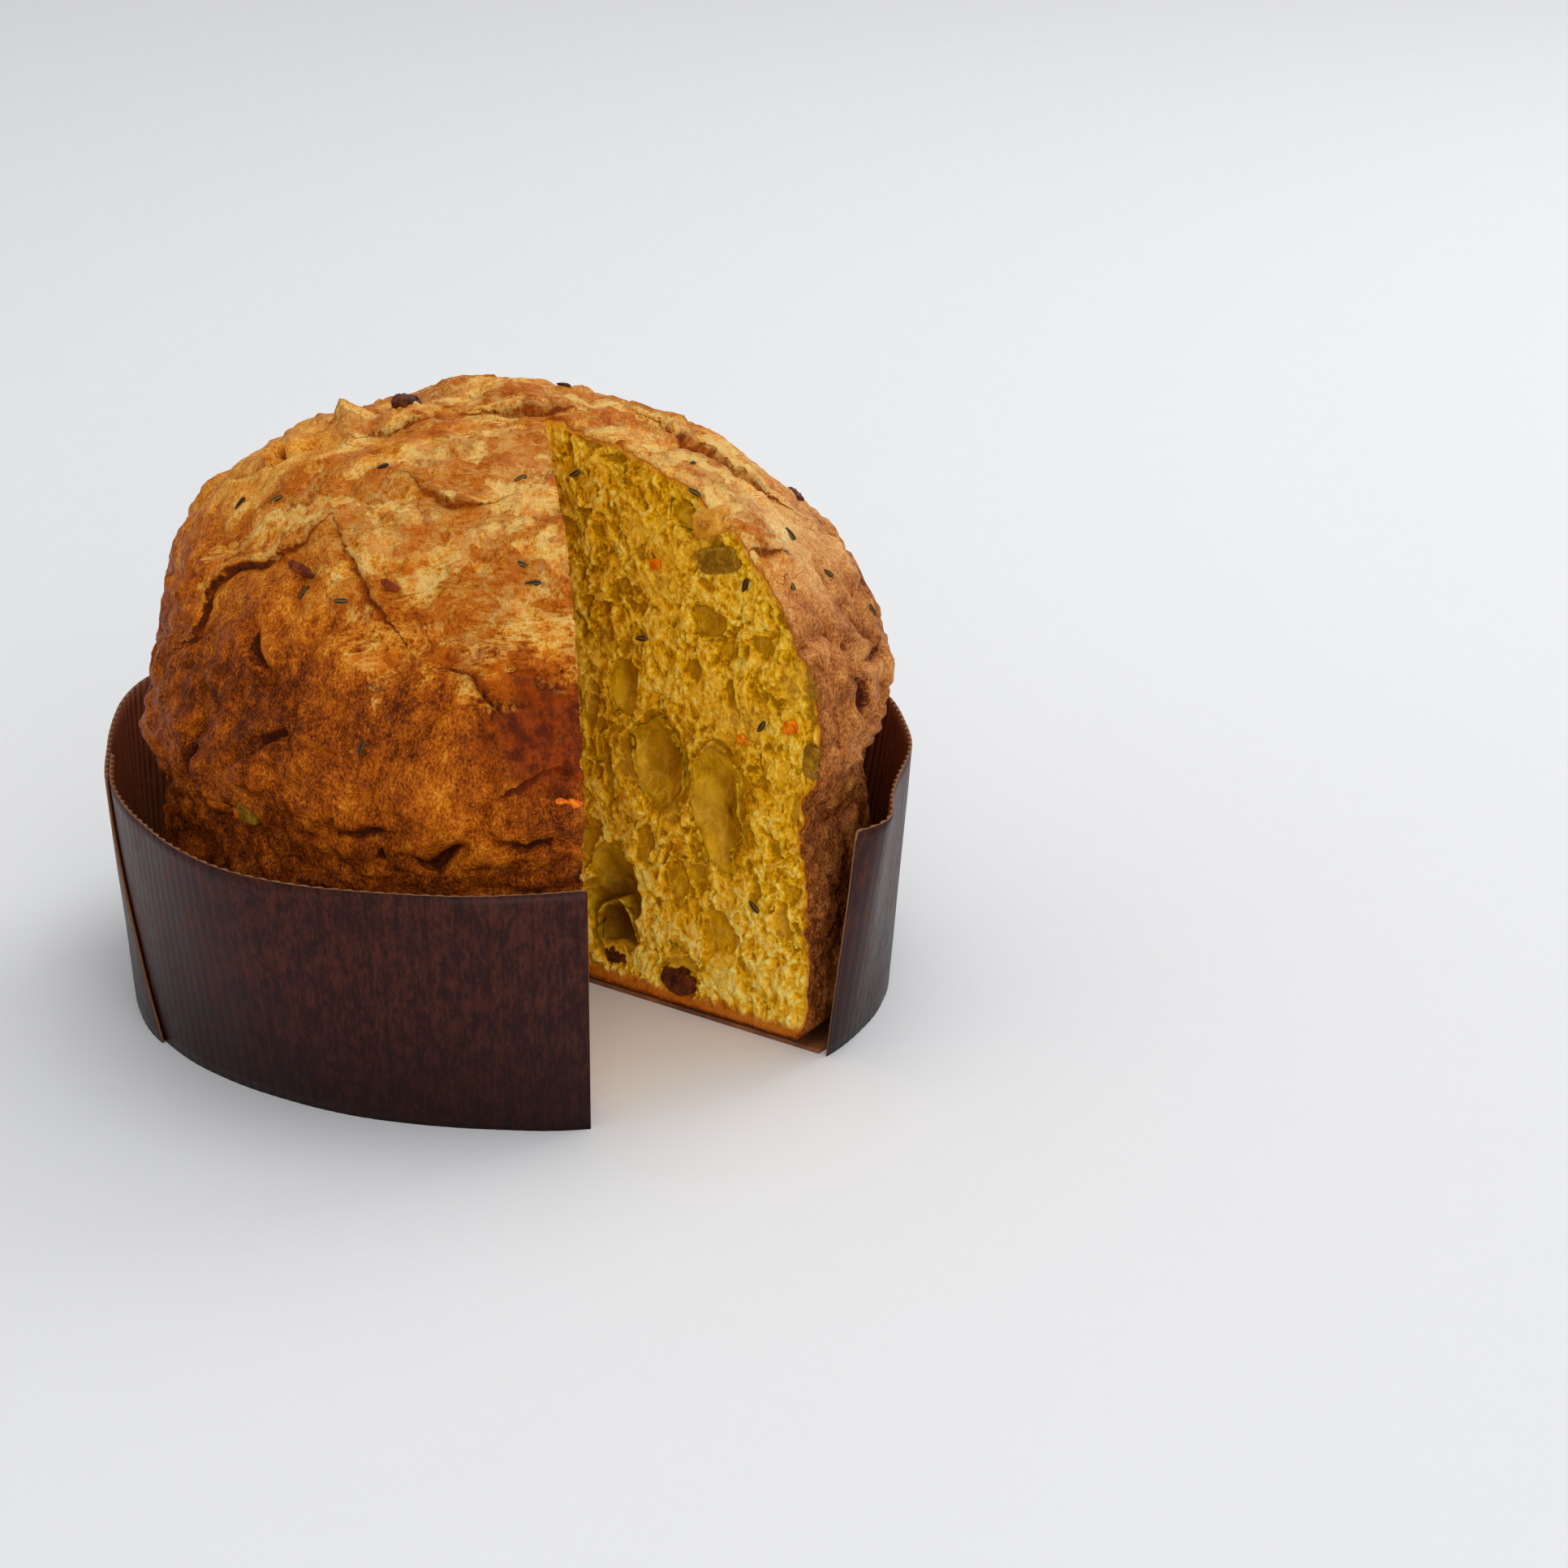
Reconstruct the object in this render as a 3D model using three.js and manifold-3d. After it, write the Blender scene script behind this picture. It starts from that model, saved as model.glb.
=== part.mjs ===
// A panettone baked in a low corrugated paper case, with one wedge cut out. Millimetres, +Z up.
// The origin is the centre of the paper case's underside. -Y is the side where the wedge was cut.
import * as THREE from 'three';
import { mergeVertices } from 'three/addons/utils/BufferGeometryUtils.js';
import Module from 'manifold-3d';

const wasm = await Module();
wasm.setup();

// Driving dimensions
const paperThickness = 1.2;
const caseFootRadius = 101;          // outside of the wall where it meets the base
const caseRimRadius = 107;           // the wall leans outwards
const caseHeight = 65;
const clearance = 0.35;              // between pieces that touch

const loafCentre = { x: 3, y: 2 };   // the dome leans off the paper case's axis
const leanStart = 15;                // height where the lean begins
const leanEnd = 80;                  // height where the lean is complete
const loafHeight = 157;
const shoulderRadius = 98.5;         // widest ring of the dome
const shoulderHeight = 86;
const waistRadius = 93.5;            // where the dome meets the rim of the case
const waistHeight = 61;
const bodyRadius = 96.8;             // inside the paper

const wedgeApex = { x: 9.6, y: 1.2 };
const wedgeLeft = -82;               // directions of the two cuts, degrees from +X
const wedgeRight = -37.9;

const loafSides = 60;                // facets round the loaf
const caseSides = 72;                // facets round the paper case
const coreHeight = 70;               // swellings push away from this point on the loaf's axis

// Meridian of the loaf, radius and height, from the middle of the underside up to the crown
const meridian = [
  [0, paperThickness + clearance],
  [60, paperThickness + clearance],
  [91, paperThickness + clearance],
  [bodyRadius - 1.2, 6],
  [bodyRadius, 16],
  [bodyRadius, 32],
  [bodyRadius - 1.5, 47],
  [waistRadius, waistHeight],
  [95.5, 70],
  [97.8, 78],
  [shoulderRadius, shoulderHeight],
  [97, 96],
  [93.5, 106],
  [88, 115.5],
  [80, 126],
  [70, 136],
  [58, 144.5],
  [45, 150.5],
  [30, 154.5],
  [15, 156.4],
  [0, loafHeight],
];

// Swellings and hollows of the baked dome: where, how broad, and how far out or in
const swellings = [
  { at: [-75, 30, 132], spread: 38, out: 6.9 },
  { at: [-94, 0, 99], spread: 24, out: -4 },
  { at: [-92, -22, 78], spread: 22, out: 4.6 },
  { at: [62, 30, 138], spread: 40, out: -3.2 },
  { at: [80, -55, 100], spread: 28, out: 1.6 },
  { at: [10, -10, 150], spread: 34, out: -0.8 },
  { at: [-5, 55, 150], spread: 36, out: 3.6 },
  { at: [20, -70, 125], spread: 32, out: 2.4 },
  { at: [15, -92, 88], spread: 30, out: 2.7 },
  { at: [-43, 20, 152], spread: 12, out: 3.2 },
  { at: [50, -30, 142], spread: 22, out: 2.4 },
  { at: [92, 20, 100], spread: 34, out: -2.2 },
  { at: [55, 75, 100], spread: 30, out: -2.2 },
  { at: [-40, 85, 92], spread: 26, out: 2.4 },
  { at: [10, 97, 78], spread: 22, out: -1.8 },
];

// Large air holes that the two cuts opened: distance along the cut from the apex, height,
// half width, half height and depth below the cut face
const rightHoles = [
  { along: 37, height: 68, wide: 9, tall: 12, deep: 7 },
  { along: 57, height: 60, wide: 8.5, tall: 19, deep: 6 },
  { along: 54.5, height: 110.5, wide: 5, tall: 5.5, deep: 4 },
  { along: 26, height: 87, wide: 5.5, tall: 7.5, deep: 5 },
  { along: 46, height: 138, wide: 4.5, tall: 4, deep: 5 },
  { along: 22, height: 17, wide: 6.6, tall: 8, deep: 7.6 },
];
const leftHoles = [
  { along: 34, height: 92, wide: 9, tall: 12, deep: 6 },
  { along: 58, height: 60, wide: 10, tall: 15, deep: 7 },
  { along: 70, height: 112, wide: 6, tall: 7, deep: 5 },
  { along: 30, height: 34, wide: 8, tall: 9, deep: 6 },
  { along: 74, height: 28, wide: 7, tall: 6, deep: 5 },
];

// Waves of the paper wall: azimuth and spread in degrees, how far out at the foot and at the rim,
// and how far the rim rises
const wallWaves = [
  { azimuth: -76, spread: 13, foot: 3.6, rim: -1.6 },
  { azimuth: -126, spread: 17, foot: -1.2, rim: 4.4 },
  { azimuth: 152, spread: 22, foot: 0, rim: 7.5, lift: 2.4 },
  { azimuth: 180, spread: 12, foot: 0, rim: -2 },
  { azimuth: 24, spread: 9, foot: 0, rim: 2.6 },
  { azimuth: -11, spread: 8, foot: 0, rim: -1.8 },
  { azimuth: -29, spread: 7, foot: 0, rim: 6 },
  { azimuth: 90, spread: 16, foot: 0, rim: 1.8 },
];

// The glued lap: a second thickness of paper on the outside, its end cut on a slant
const lapThickness = 1.1;
const lapFrom = 178;                 // degrees
const lapTo = 208;
const lapSlant = -0.25;              // degrees for each millimetre of height

const radians = THREE.MathUtils.degToRad;

// Materials
const finish = (color, roughness) => new THREE.MeshStandardMaterial({ color, roughness, metalness: 0 });
const crust = finish(0xa8621f, 0.7);
const paper = finish(0x3a1d18, 0.5);
const paleFruit = finish(0xd9b25a, 0.35);
const oliveFruit = finish(0x6d5418, 0.35);
const brownFruit = finish(0x5a2a10, 0.35);
const orangePeel = finish(0xd8741c, 0.4);
const seedCoat = finish(0x54421f, 0.6);

// Makes a closed solid of a geometry, with its vertices joined
function toSolid(geometry) {
  const bare = new THREE.BufferGeometry();
  bare.setAttribute('position', geometry.getAttribute('position').clone());
  if (geometry.index) bare.setIndex(geometry.index.clone());
  const merged = mergeVertices(bare, 1e-4);
  const corners = Array.from(merged.index.array);
  const kept = [];
  for (let i = 0; i < corners.length; i += 3) {
    const [a, b, c] = corners.slice(i, i + 3);
    if (a !== b && b !== c && a !== c) kept.push(a, b, c);
  }
  return new wasm.Manifold(new wasm.Mesh({
    numProp: 3,
    vertProperties: new Float32Array(merged.getAttribute('position').array),
    triVerts: new Uint32Array(kept),
  }));
}

function toGeometry(solid) {
  const mesh = solid.getMesh();
  const geometry = new THREE.BufferGeometry();
  geometry.setAttribute('position', new THREE.BufferAttribute(new Float32Array(mesh.vertProperties), 3));
  geometry.setIndex(new THREE.BufferAttribute(new Uint32Array(mesh.triVerts), 1));
  geometry.computeVertexNormals();
  return geometry;
}

// Moves every point of a geometry by a function of its place
function reshape(geometry, move) {
  const position = geometry.getAttribute('position');
  const point = new THREE.Vector3();
  for (let i = 0; i < position.count; i += 1) {
    point.fromBufferAttribute(position, i);
    move(point);
    position.setXYZ(i, point.x, point.y, point.z);
  }
  return geometry;
}

// A lathe whose axis is +Z
function latheUp(points, sides) {
  const outline = points.map(([radius, height]) => new THREE.Vector2(radius, height));
  return new THREE.LatheGeometry(outline, sides).rotateX(Math.PI / 2);
}

const bump = (distance, spread) => Math.exp(-((distance / spread) ** 2));

// An upright prism on a flat outline
function prism(outline, bottom, top) {
  const shape = new THREE.Shape(outline.map(([x, y]) => new THREE.Vector2(x, y)));
  return new THREE.ExtrudeGeometry(shape, { depth: top - bottom, bevelEnabled: false })
    .translate(0, 0, bottom);
}

// A point on a cut, by its distance from the apex
function onCut(direction, along, height) {
  return new THREE.Vector3(
    wedgeApex.x + along * Math.cos(radians(direction)),
    wedgeApex.y + along * Math.sin(radians(direction)),
    height,
  );
}

// The wedge that was taken out, larger than the loaf and the case
function makeWedge() {
  const reach = 170;
  const left = onCut(wedgeLeft, reach, 0);
  const right = onCut(wedgeRight, reach, 0);
  const outline = [[wedgeApex.x, wedgeApex.y], [left.x, left.y], [right.x, right.y]];
  return toSolid(prism(outline, -10, loafHeight + 20));
}

// The lean and the swellings of the loaf
function shapeLoaf(point) {
  const share = THREE.MathUtils.smoothstep(point.z, leanStart, leanEnd);
  point.x += share * loafCentre.x;
  point.y += share * loafCentre.y;
  const start = point.clone();
  const outwards = start.clone().sub(new THREE.Vector3(loafCentre.x, loafCentre.y, coreHeight)).normalize();
  for (const { at, spread, out } of swellings) {
    const near = bump(start.distanceTo(new THREE.Vector3(...at)), spread);
    point.addScaledVector(outwards, out * near);
  }
  point.z = Math.max(point.z, paperThickness + clearance);
}

// Air holes: ovoids whose short axis is square to the cut
function makeHole(direction, { along, height, wide, tall, deep }) {
  const centre = onCut(direction, along, height);
  return toSolid(new THREE.SphereGeometry(1, 12, 8)
    .scale(wide, deep, tall)
    .rotateZ(radians(direction))
    .translate(centre.x, centre.y, centre.z));
}

// Pieces that show in a cut face. Along and height are places in the cut, out is how far the
// middle stands proud of it. Half sizes are along the cut, upwards and square to the cut.
const crumbPieces = [
  { name: 'candied_citron_cube', look: paleFruit, cut: wedgeRight, along: 57, height: 139.2, out: -1, half: [5, 3.6, 3.4], spin: 20 },
  { name: 'candied_melon_chunk', look: oliveFruit, cut: wedgeRight, along: 58, height: 128.3, out: -1.4, half: [7, 3.6, 4], spin: 14 },
  { name: 'candied_citron_high', look: paleFruit, cut: wedgeRight, along: 89.8, height: 102, out: -0.8, half: [2.2, 4.8, 2.4], spin: 14 },
  { name: 'candied_melon_low', look: oliveFruit, cut: wedgeRight, along: 88.6, height: 80.3, out: -1.2, half: [3, 4.6, 3], spin: -6 },
  { name: 'raisin_at_base', look: brownFruit, cut: wedgeRight, along: 43.4, height: 8, out: -1.4, half: [6.2, 3.8, 4], spin: -8 },
  { name: 'raisin_in_hollow', look: brownFruit, cut: wedgeRight, along: 21.5, height: 9.6, out: -4, half: [5.2, 3.2, 3.6], spin: 12 },
  { name: 'orange_peel_1', look: orangePeel, cut: wedgeRight, along: 81.4, height: 88.1, out: -0.4, half: [2.4, 2, 1.4], spin: 30 },
  { name: 'orange_peel_2', look: orangePeel, cut: wedgeRight, along: 65.3, height: 81.4, out: -0.3, half: [1.6, 1.4, 1.1], spin: -20 },
  { name: 'orange_peel_3', look: orangePeel, cut: wedgeRight, along: 37.4, height: 123.1, out: -0.3, half: [1.5, 1.2, 1.1], spin: 0 },
  { name: 'candied_citron_left', look: paleFruit, cut: wedgeLeft, along: 62, height: 124, out: -1, half: [4.4, 3.4, 3], spin: 25 },
  { name: 'raisin_left', look: brownFruit, cut: wedgeLeft, along: 46, height: 118, out: -1.4, half: [4.6, 3.2, 3.4], spin: -12 },
  { name: 'orange_peel_left', look: orangePeel, cut: wedgeLeft, along: 80, height: 74, out: -0.3, half: [2.2, 1.5, 1.2], spin: 40 },
];
const crumbSeeds = [
  { cut: wedgeRight, along: 11, height: 142.8, spin: 30 },
  { cut: wedgeRight, along: 51, height: 145.2, spin: -15 },
  { cut: wedgeRight, along: 67.3, height: 123.6, spin: 70 },
  { cut: wedgeRight, along: 72.5, height: 86.5, spin: 55 },
  { cut: wedgeRight, along: 33, height: 102, spin: 10 },
  { cut: wedgeRight, along: 70, height: 36, spin: -40 },
  { cut: wedgeLeft, along: 20, height: 130, spin: 35 },
  { cut: wedgeLeft, along: 52, height: 88, spin: -50 },
  { cut: wedgeLeft, along: 84, height: 52, spin: 15 },
];

// Pieces in the crust: roughly where, half sizes along, across and square to the crust,
// and the spin of the long side from level
const crustPieces = [
  { name: 'raisin_on_crown', look: brownFruit, near: [-26, 14, 154], out: 0, half: [4.6, 3.4, 2.4], spin: 25 },
  { name: 'candied_melon_skin', look: oliveFruit, near: [-64, -66, 72], out: -0.6, half: [3.6, 4.2, 2.2], spin: 0 },
  { name: 'raisin_on_shoulder', look: brownFruit, near: [77, 20, 130], out: -0.2, half: [3.6, 2.6, 2.2], spin: 15 },
  { name: 'orange_peel_skin', look: orangePeel, near: [-67, -62, 70], out: -0.2, half: [1.4, 2.2, 1.1], spin: 20 },
  { name: 'orange_strip_1', look: orangePeel, near: [-48, -52, 131], out: 0.1, half: [6.2, 1, 0.8], spin: -8 },
  { name: 'orange_strip_2', look: orangePeel, near: [-25, -67, 132], out: 0.1, half: [3.4, 0.9, 0.8], spin: -20 },
  { name: 'orange_strip_3', look: orangePeel, near: [19, -96, 86], out: 0.3, half: [4.4, 1, 0.8], spin: -6 },
];
const crustSeeds = [
  { near: [-57, -22, 140], spin: 60 },
  { near: [-68, -11, 136], spin: 100 },
  { near: [-47, -58, 127], spin: 80 },
  { near: [-37, -65, 127], spin: 10 },
  { near: [-29, -30, 150], spin: 55 },
  { near: [7, -68, 138], spin: -20 },
  { near: [10.5, -72, 134.5], spin: 5 },
  { near: [-32, -88, 97], spin: 80 },
  { near: [6, -38, 151], spin: 40 },
  { near: [74, -21, 131], spin: 70 },
  { near: [75, -39, 123], spin: 75 },
  { near: [84, -21, 120], spin: 110 },
  { near: [95, -7, 106], spin: 60 },
  { near: [97, 2, 101], spin: 30 },
  { near: [48, -18, 147], spin: -10 },
  { near: [14, 38, 156], spin: 25 },
  { near: [-30, 62, 146], spin: -35 },
  { near: [40, 70, 128], spin: 50 },
  { near: [-82, 40, 108], spin: 15 },
  { near: [4, 96, 96], spin: -60 },
];
const seedHalf = [2, 0.85, 0.8];

const seedName = (place, number) => `seed_${place}_${String(number + 1).padStart(2, '0')}`;
const seeds = (list, place, out) => list.map((seed, number) => ({
  ...seed, name: seedName(place, number), look: seedCoat, half: seedHalf, out, sides: 6, rings: 4,
}));

// The frame of a piece: its length, its width and the way out of the surface it sits in
function frameOnCut({ cut, along, height, out }) {
  const length = new THREE.Vector3(Math.cos(radians(cut)), Math.sin(radians(cut)), 0);
  if (cut === wedgeLeft) length.negate();
  const width = new THREE.Vector3(0, 0, 1);
  const outwards = new THREE.Vector3().crossVectors(length, width);
  return { length, width, outwards, middle: onCut(cut, along, height).addScaledVector(outwards, out) };
}

function frameOnCrust({ near, out }, crustMesh) {
  const core = new THREE.Vector3(loafCentre.x, loafCentre.y, coreHeight);
  const away = new THREE.Vector3(...near).sub(core).normalize();
  const [hit] = new THREE.Raycaster(core, away).intersectObject(crustMesh);
  const outwards = hit.face.normal.clone();
  const length = new THREE.Vector3(0, 0, 1).cross(outwards).normalize();
  const width = new THREE.Vector3().crossVectors(outwards, length);
  return { length, width, outwards, middle: hit.point.clone().addScaledVector(outwards, out) };
}

// A rounded body lying in its frame; grow makes the pocket that it leaves in the loaf
function makeOvoid({ half, spin, sides = 8, rings = 6 }, { length, width, outwards }, grow = 0) {
  return new THREE.SphereGeometry(1, sides, rings)
    .scale(half[0] + grow, half[1] + grow, half[2] + grow)
    .rotateZ(radians(spin))
    .applyMatrix4(new THREE.Matrix4().makeBasis(length, width, outwards));
}

const model = new THREE.Group();

function addPiece(name, geometry, look, place = new THREE.Vector3()) {
  const mesh = new THREE.Mesh(geometry, look);
  mesh.name = name;
  mesh.position.copy(place);
  model.add(mesh);
}

// Paper case: the wall leans out and waves, and overlaps itself in the glued lap
function shapeWall(point) {
  const radius = Math.hypot(point.x, point.y);
  const azimuth = THREE.MathUtils.radToDeg(Math.atan2(point.y, point.x));
  const rise = point.z / caseHeight;
  let wave = (caseRimRadius - caseFootRadius) * rise;
  for (const { azimuth: middle, spread, foot, rim, lift = 0 } of wallWaves) {
    const apart = THREE.MathUtils.euclideanModulo(azimuth - middle + 180, 360) - 180;
    wave += bump(apart, spread) * (foot + (rim - foot) * rise);
    point.z += bump(apart, spread) * lift * rise;
  }
  point.x *= (radius + wave) / radius;
  point.y *= (radius + wave) / radius;
}

function makeRing(inner, outer, rows) {
  const upward = Array.from({ length: rows + 1 }, (_, row) => [outer, caseHeight * row / rows]);
  const downward = upward.map(([, height]) => [inner, height]).reverse();
  return latheUp([...upward, ...downward, upward[0]], caseSides);
}

function makeLap() {
  const far = caseRimRadius * 2;
  const corner = (angle) => [far * Math.cos(radians(angle)), far * Math.sin(radians(angle))];
  const sector = prism([[0, 0], corner(lapFrom), corner((lapFrom + lapTo) / 2), corner(lapTo)], 0, caseHeight);
  reshape(sector, (point) => point.applyAxisAngle(new THREE.Vector3(0, 0, 1), -radians(lapSlant * point.z)));
  const ring = makeRing(caseFootRadius - paperThickness / 2, caseFootRadius + lapThickness, 3);
  return toSolid(ring).intersect(toSolid(sector));
}

const wedge = makeWedge();
const ring = toSolid(makeRing(caseFootRadius - paperThickness, caseFootRadius, 3)).add(makeLap());
const wavedWall = toSolid(reshape(toGeometry(ring), shapeWall));
addPiece('paper_wall', toGeometry(wavedWall.subtract(wedge)), paper);

const baseRadius = caseFootRadius - paperThickness - clearance - 1;
const disc = new THREE.CylinderGeometry(baseRadius, baseRadius, paperThickness, caseSides)
  .rotateX(Math.PI / 2).translate(0, 0, paperThickness / 2);
addPiece('paper_base', toGeometry(toSolid(disc).subtract(wedge)), paper);

// Loaf, less the wedge, the opened air holes and a pocket for each piece
const wholeLoaf = reshape(latheUp(meridian, loafSides), shapeLoaf);
const wholeSolid = toSolid(wholeLoaf);
const crustMesh = new THREE.Mesh(toGeometry(wholeSolid), new THREE.MeshBasicMaterial({ side: THREE.DoubleSide }));
const holes = [
  ...rightHoles.map((hole) => makeHole(wedgeRight, hole)),
  ...leftHoles.map((hole) => makeHole(wedgeLeft, hole)),
];
let loaf = wholeSolid.subtract(wedge);
for (const hole of holes) loaf = loaf.subtract(hole);

const embedded = [
  ...crumbPieces.map((piece) => ({ piece, frame: frameOnCut(piece) })),
  ...seeds(crumbSeeds, 'crumb', 0.1).map((piece) => ({ piece, frame: frameOnCut(piece) })),
  ...crustPieces.map((piece) => ({ piece, frame: frameOnCrust(piece, crustMesh) })),
  ...seeds(crustSeeds, 'crust', 0.25).map((piece) => ({ piece, frame: frameOnCrust(piece, crustMesh) })),
];
for (const { piece, frame } of embedded) {
  const { x, y, z } = frame.middle;
  loaf = loaf.subtract(toSolid(makeOvoid(piece, frame, clearance).translate(x, y, z)));
  addPiece(piece.name, makeOvoid(piece, frame), piece.look, frame.middle);
}
addPiece('loaf', toGeometry(loaf), crust);

export default model;
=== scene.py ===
import math

import bpy
import numpy as np
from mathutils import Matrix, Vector
from mathutils.bvhtree import BVHTree


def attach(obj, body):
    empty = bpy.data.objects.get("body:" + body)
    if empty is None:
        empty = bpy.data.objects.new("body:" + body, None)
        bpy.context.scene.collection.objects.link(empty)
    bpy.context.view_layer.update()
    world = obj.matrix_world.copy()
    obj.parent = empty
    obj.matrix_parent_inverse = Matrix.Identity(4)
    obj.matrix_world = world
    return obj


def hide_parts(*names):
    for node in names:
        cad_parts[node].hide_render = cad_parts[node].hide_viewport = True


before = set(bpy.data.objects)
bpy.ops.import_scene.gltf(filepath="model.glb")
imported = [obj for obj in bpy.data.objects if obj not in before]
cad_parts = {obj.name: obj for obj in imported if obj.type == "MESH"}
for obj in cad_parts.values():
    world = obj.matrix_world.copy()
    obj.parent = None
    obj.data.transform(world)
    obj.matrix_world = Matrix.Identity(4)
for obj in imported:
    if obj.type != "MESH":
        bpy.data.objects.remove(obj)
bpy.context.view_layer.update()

# A panettone in its paper case with a wedge cut out. Lengths in this script are millimetres unless
# they go to Blender, which takes metres. Azimuth is measured from +X, turning to +Y.

metre = 1000
wedge = {"apex": (9.6, 1.2), "left": -82.0, "right": -37.9}
core = np.array([3.0, 2.0, 70.0])  # middle of the loaf, where the dough rose from


def selectOnly(*objs):
    bpy.ops.object.select_all(action="DESELECT")
    for obj in objs:
        obj.select_set(True)
    bpy.context.view_layer.objects.active = objs[0]


def applyModifier(obj, kind, **settings):
    selectOnly(obj)
    modifier = obj.modifiers.new(kind.title(), kind)
    for setting, value in settings.items():
        setattr(modifier, setting, value)
    bpy.ops.object.modifier_apply(modifier=modifier.name)


def getPoints(obj):
    flat = np.empty(len(obj.data.vertices) * 3)
    obj.data.vertices.foreach_get("co", flat)
    return flat.reshape(-1, 3) * metre


def setPoints(obj, points):
    obj.data.vertices.foreach_set("co", (points / metre).ravel())
    obj.data.update()


def getNormals(obj):
    flat = np.empty(len(obj.data.vertices) * 3)
    obj.data.vertices.foreach_get("normal", flat)
    return flat.reshape(-1, 3)


def paintMask(obj, name, values):
    layer = obj.data.attributes.new(name, "FLOAT", "POINT")
    layer.data.foreach_set("value", np.asarray(values, np.float32))


def editMode(obj):
    selectOnly(obj)
    bpy.ops.object.mode_set(mode="EDIT")
    bpy.ops.mesh.select_all(action="SELECT")


def objectMode():
    bpy.ops.object.mode_set(mode="OBJECT")


def copyOfNode(node, name):
    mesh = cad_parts[node].data.copy()
    mesh.materials.clear()
    obj = bpy.data.objects.new(name, mesh)
    bpy.context.scene.collection.objects.link(obj)
    editMode(obj)
    bpy.ops.mesh.remove_doubles(threshold=0.00001)
    objectMode()
    return obj


def finishPiece(obj, material, node):
    obj.data.materials.clear()
    obj.data.materials.append(material)
    obj.data.polygons.foreach_set("use_smooth", [True] * len(obj.data.polygons))
    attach(obj, "root")
    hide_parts(node)


def noise(points, size, seed):  # smooth lumps about as broad as size, from about -1 to 1
    rng = np.random.default_rng(seed)
    order = rng.permutation(256)
    slopes = rng.normal(size=(256, 3))
    slopes /= np.linalg.norm(slopes, axis=1)[:, None]
    scaled = points / np.asarray(size)
    cell = np.floor(scaled).astype(int)
    inside = scaled - cell
    fade = inside ** 3 * (inside * (inside * 6 - 15) + 10)
    total = np.zeros(len(points))
    for corner in np.ndindex(2, 2, 2):
        at = cell + np.array(corner)
        pick = order[(order[(order[at[:, 0] & 255] + at[:, 1]) & 255] + at[:, 2]) & 255]
        drop = np.einsum("ij,ij->i", slopes[pick], inside - np.array(corner))
        total += drop * np.prod(np.where(np.array(corner) == 1, fade, 1 - fade), axis=1)
    return total * 1.6


def noises(points, size, seeds):  # a column of noise for each seed
    return np.stack([noise(points, size, seed) for seed in seeds], axis=1)


def cells(flat, size, seed):  # distance to the nearest scattered centre, and that centre's pick, 0 to 1
    rng = np.random.default_rng(seed)
    jitter = rng.random((256, 256, 2))
    picks = rng.random((256, 256))
    scaled = flat / np.asarray(size)
    cell = np.floor(scaled).astype(int)
    near = np.full(len(flat), 9.0)
    pick = np.zeros(len(flat))
    for step in np.ndindex(3, 3):
        at = cell + np.array(step) - 1
        wrapped = at & 255
        gap = np.linalg.norm(scaled - at - jitter[wrapped[:, 0], wrapped[:, 1]], axis=1)
        closer = gap < near
        pick = np.where(closer, picks[wrapped[:, 0], wrapped[:, 1]], pick)
        near = np.where(closer, gap, near)
    return near, pick


def smooth(values, low, high):  # 0 below low, 1 above high
    share = np.clip((values - low) / (high - low), 0, 1)
    return share * share * (3 - 2 * share)


def blob(points, centre, radius):
    gap = np.linalg.norm(points - np.array(centre), axis=1)
    return np.exp(-(gap / radius) ** 2)


def alongLine(points, line, reach):
    # nearest distance to a line of points, which side of it, and a share that fades at its ends
    line = np.array(line, float)
    low, high = line.min(0) - reach, line.max(0) + reach
    close = np.flatnonzero(np.all((points > low) & (points < high), axis=1))
    gap = np.full(len(points), np.inf)
    side = np.zeros(len(points))
    fade = np.zeros(len(points))
    spot = points[close]
    outward = spot - core
    outward /= np.linalg.norm(outward, axis=1)[:, None]
    length = np.concatenate([[0], np.cumsum(np.linalg.norm(np.diff(line, axis=0), axis=1))])
    best = np.full(len(close), np.inf)
    for start, end, before, after in zip(line[:-1], line[1:], length[:-1], length[1:]):
        run = end - start
        share = np.clip((spot - start) @ run / (run @ run), 0, 1)
        away = spot - start - share[:, None] * run
        distance = np.linalg.norm(away, axis=1)
        nearer = distance < best
        best = np.where(nearer, distance, best)
        facing = np.einsum("ij,ij->i", np.cross(run, outward), away)
        side[close] = np.where(nearer, np.sign(facing), side[close])
        travelled = (before + share * (after - before)) / length[-1]
        ends = np.sin(np.pi * np.clip(travelled, 0.02, 0.98)) ** 0.5
        fade[close] = np.where(nearer, ends, fade[close])
    gap[close] = best
    return gap, side, fade


class Wire:  # a socket that can be used in sums
    def __init__(self, finish, socket):
        self.finish = finish
        self.socket = socket

    def maths(self, operation, first, second):
        return self.finish.node("ShaderNodeMath", {"operation": operation}, {0: first, 1: second})

    def __add__(self, other):
        return self.maths("ADD", self, other)

    def __radd__(self, other):
        return self.maths("ADD", other, self)

    def __sub__(self, other):
        return self.maths("SUBTRACT", self, other)

    def __rsub__(self, other):
        return self.maths("SUBTRACT", other, self)

    def __mul__(self, other):
        return self.maths("MULTIPLY", self, other)

    def __rmul__(self, other):
        return self.maths("MULTIPLY", other, self)


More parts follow.
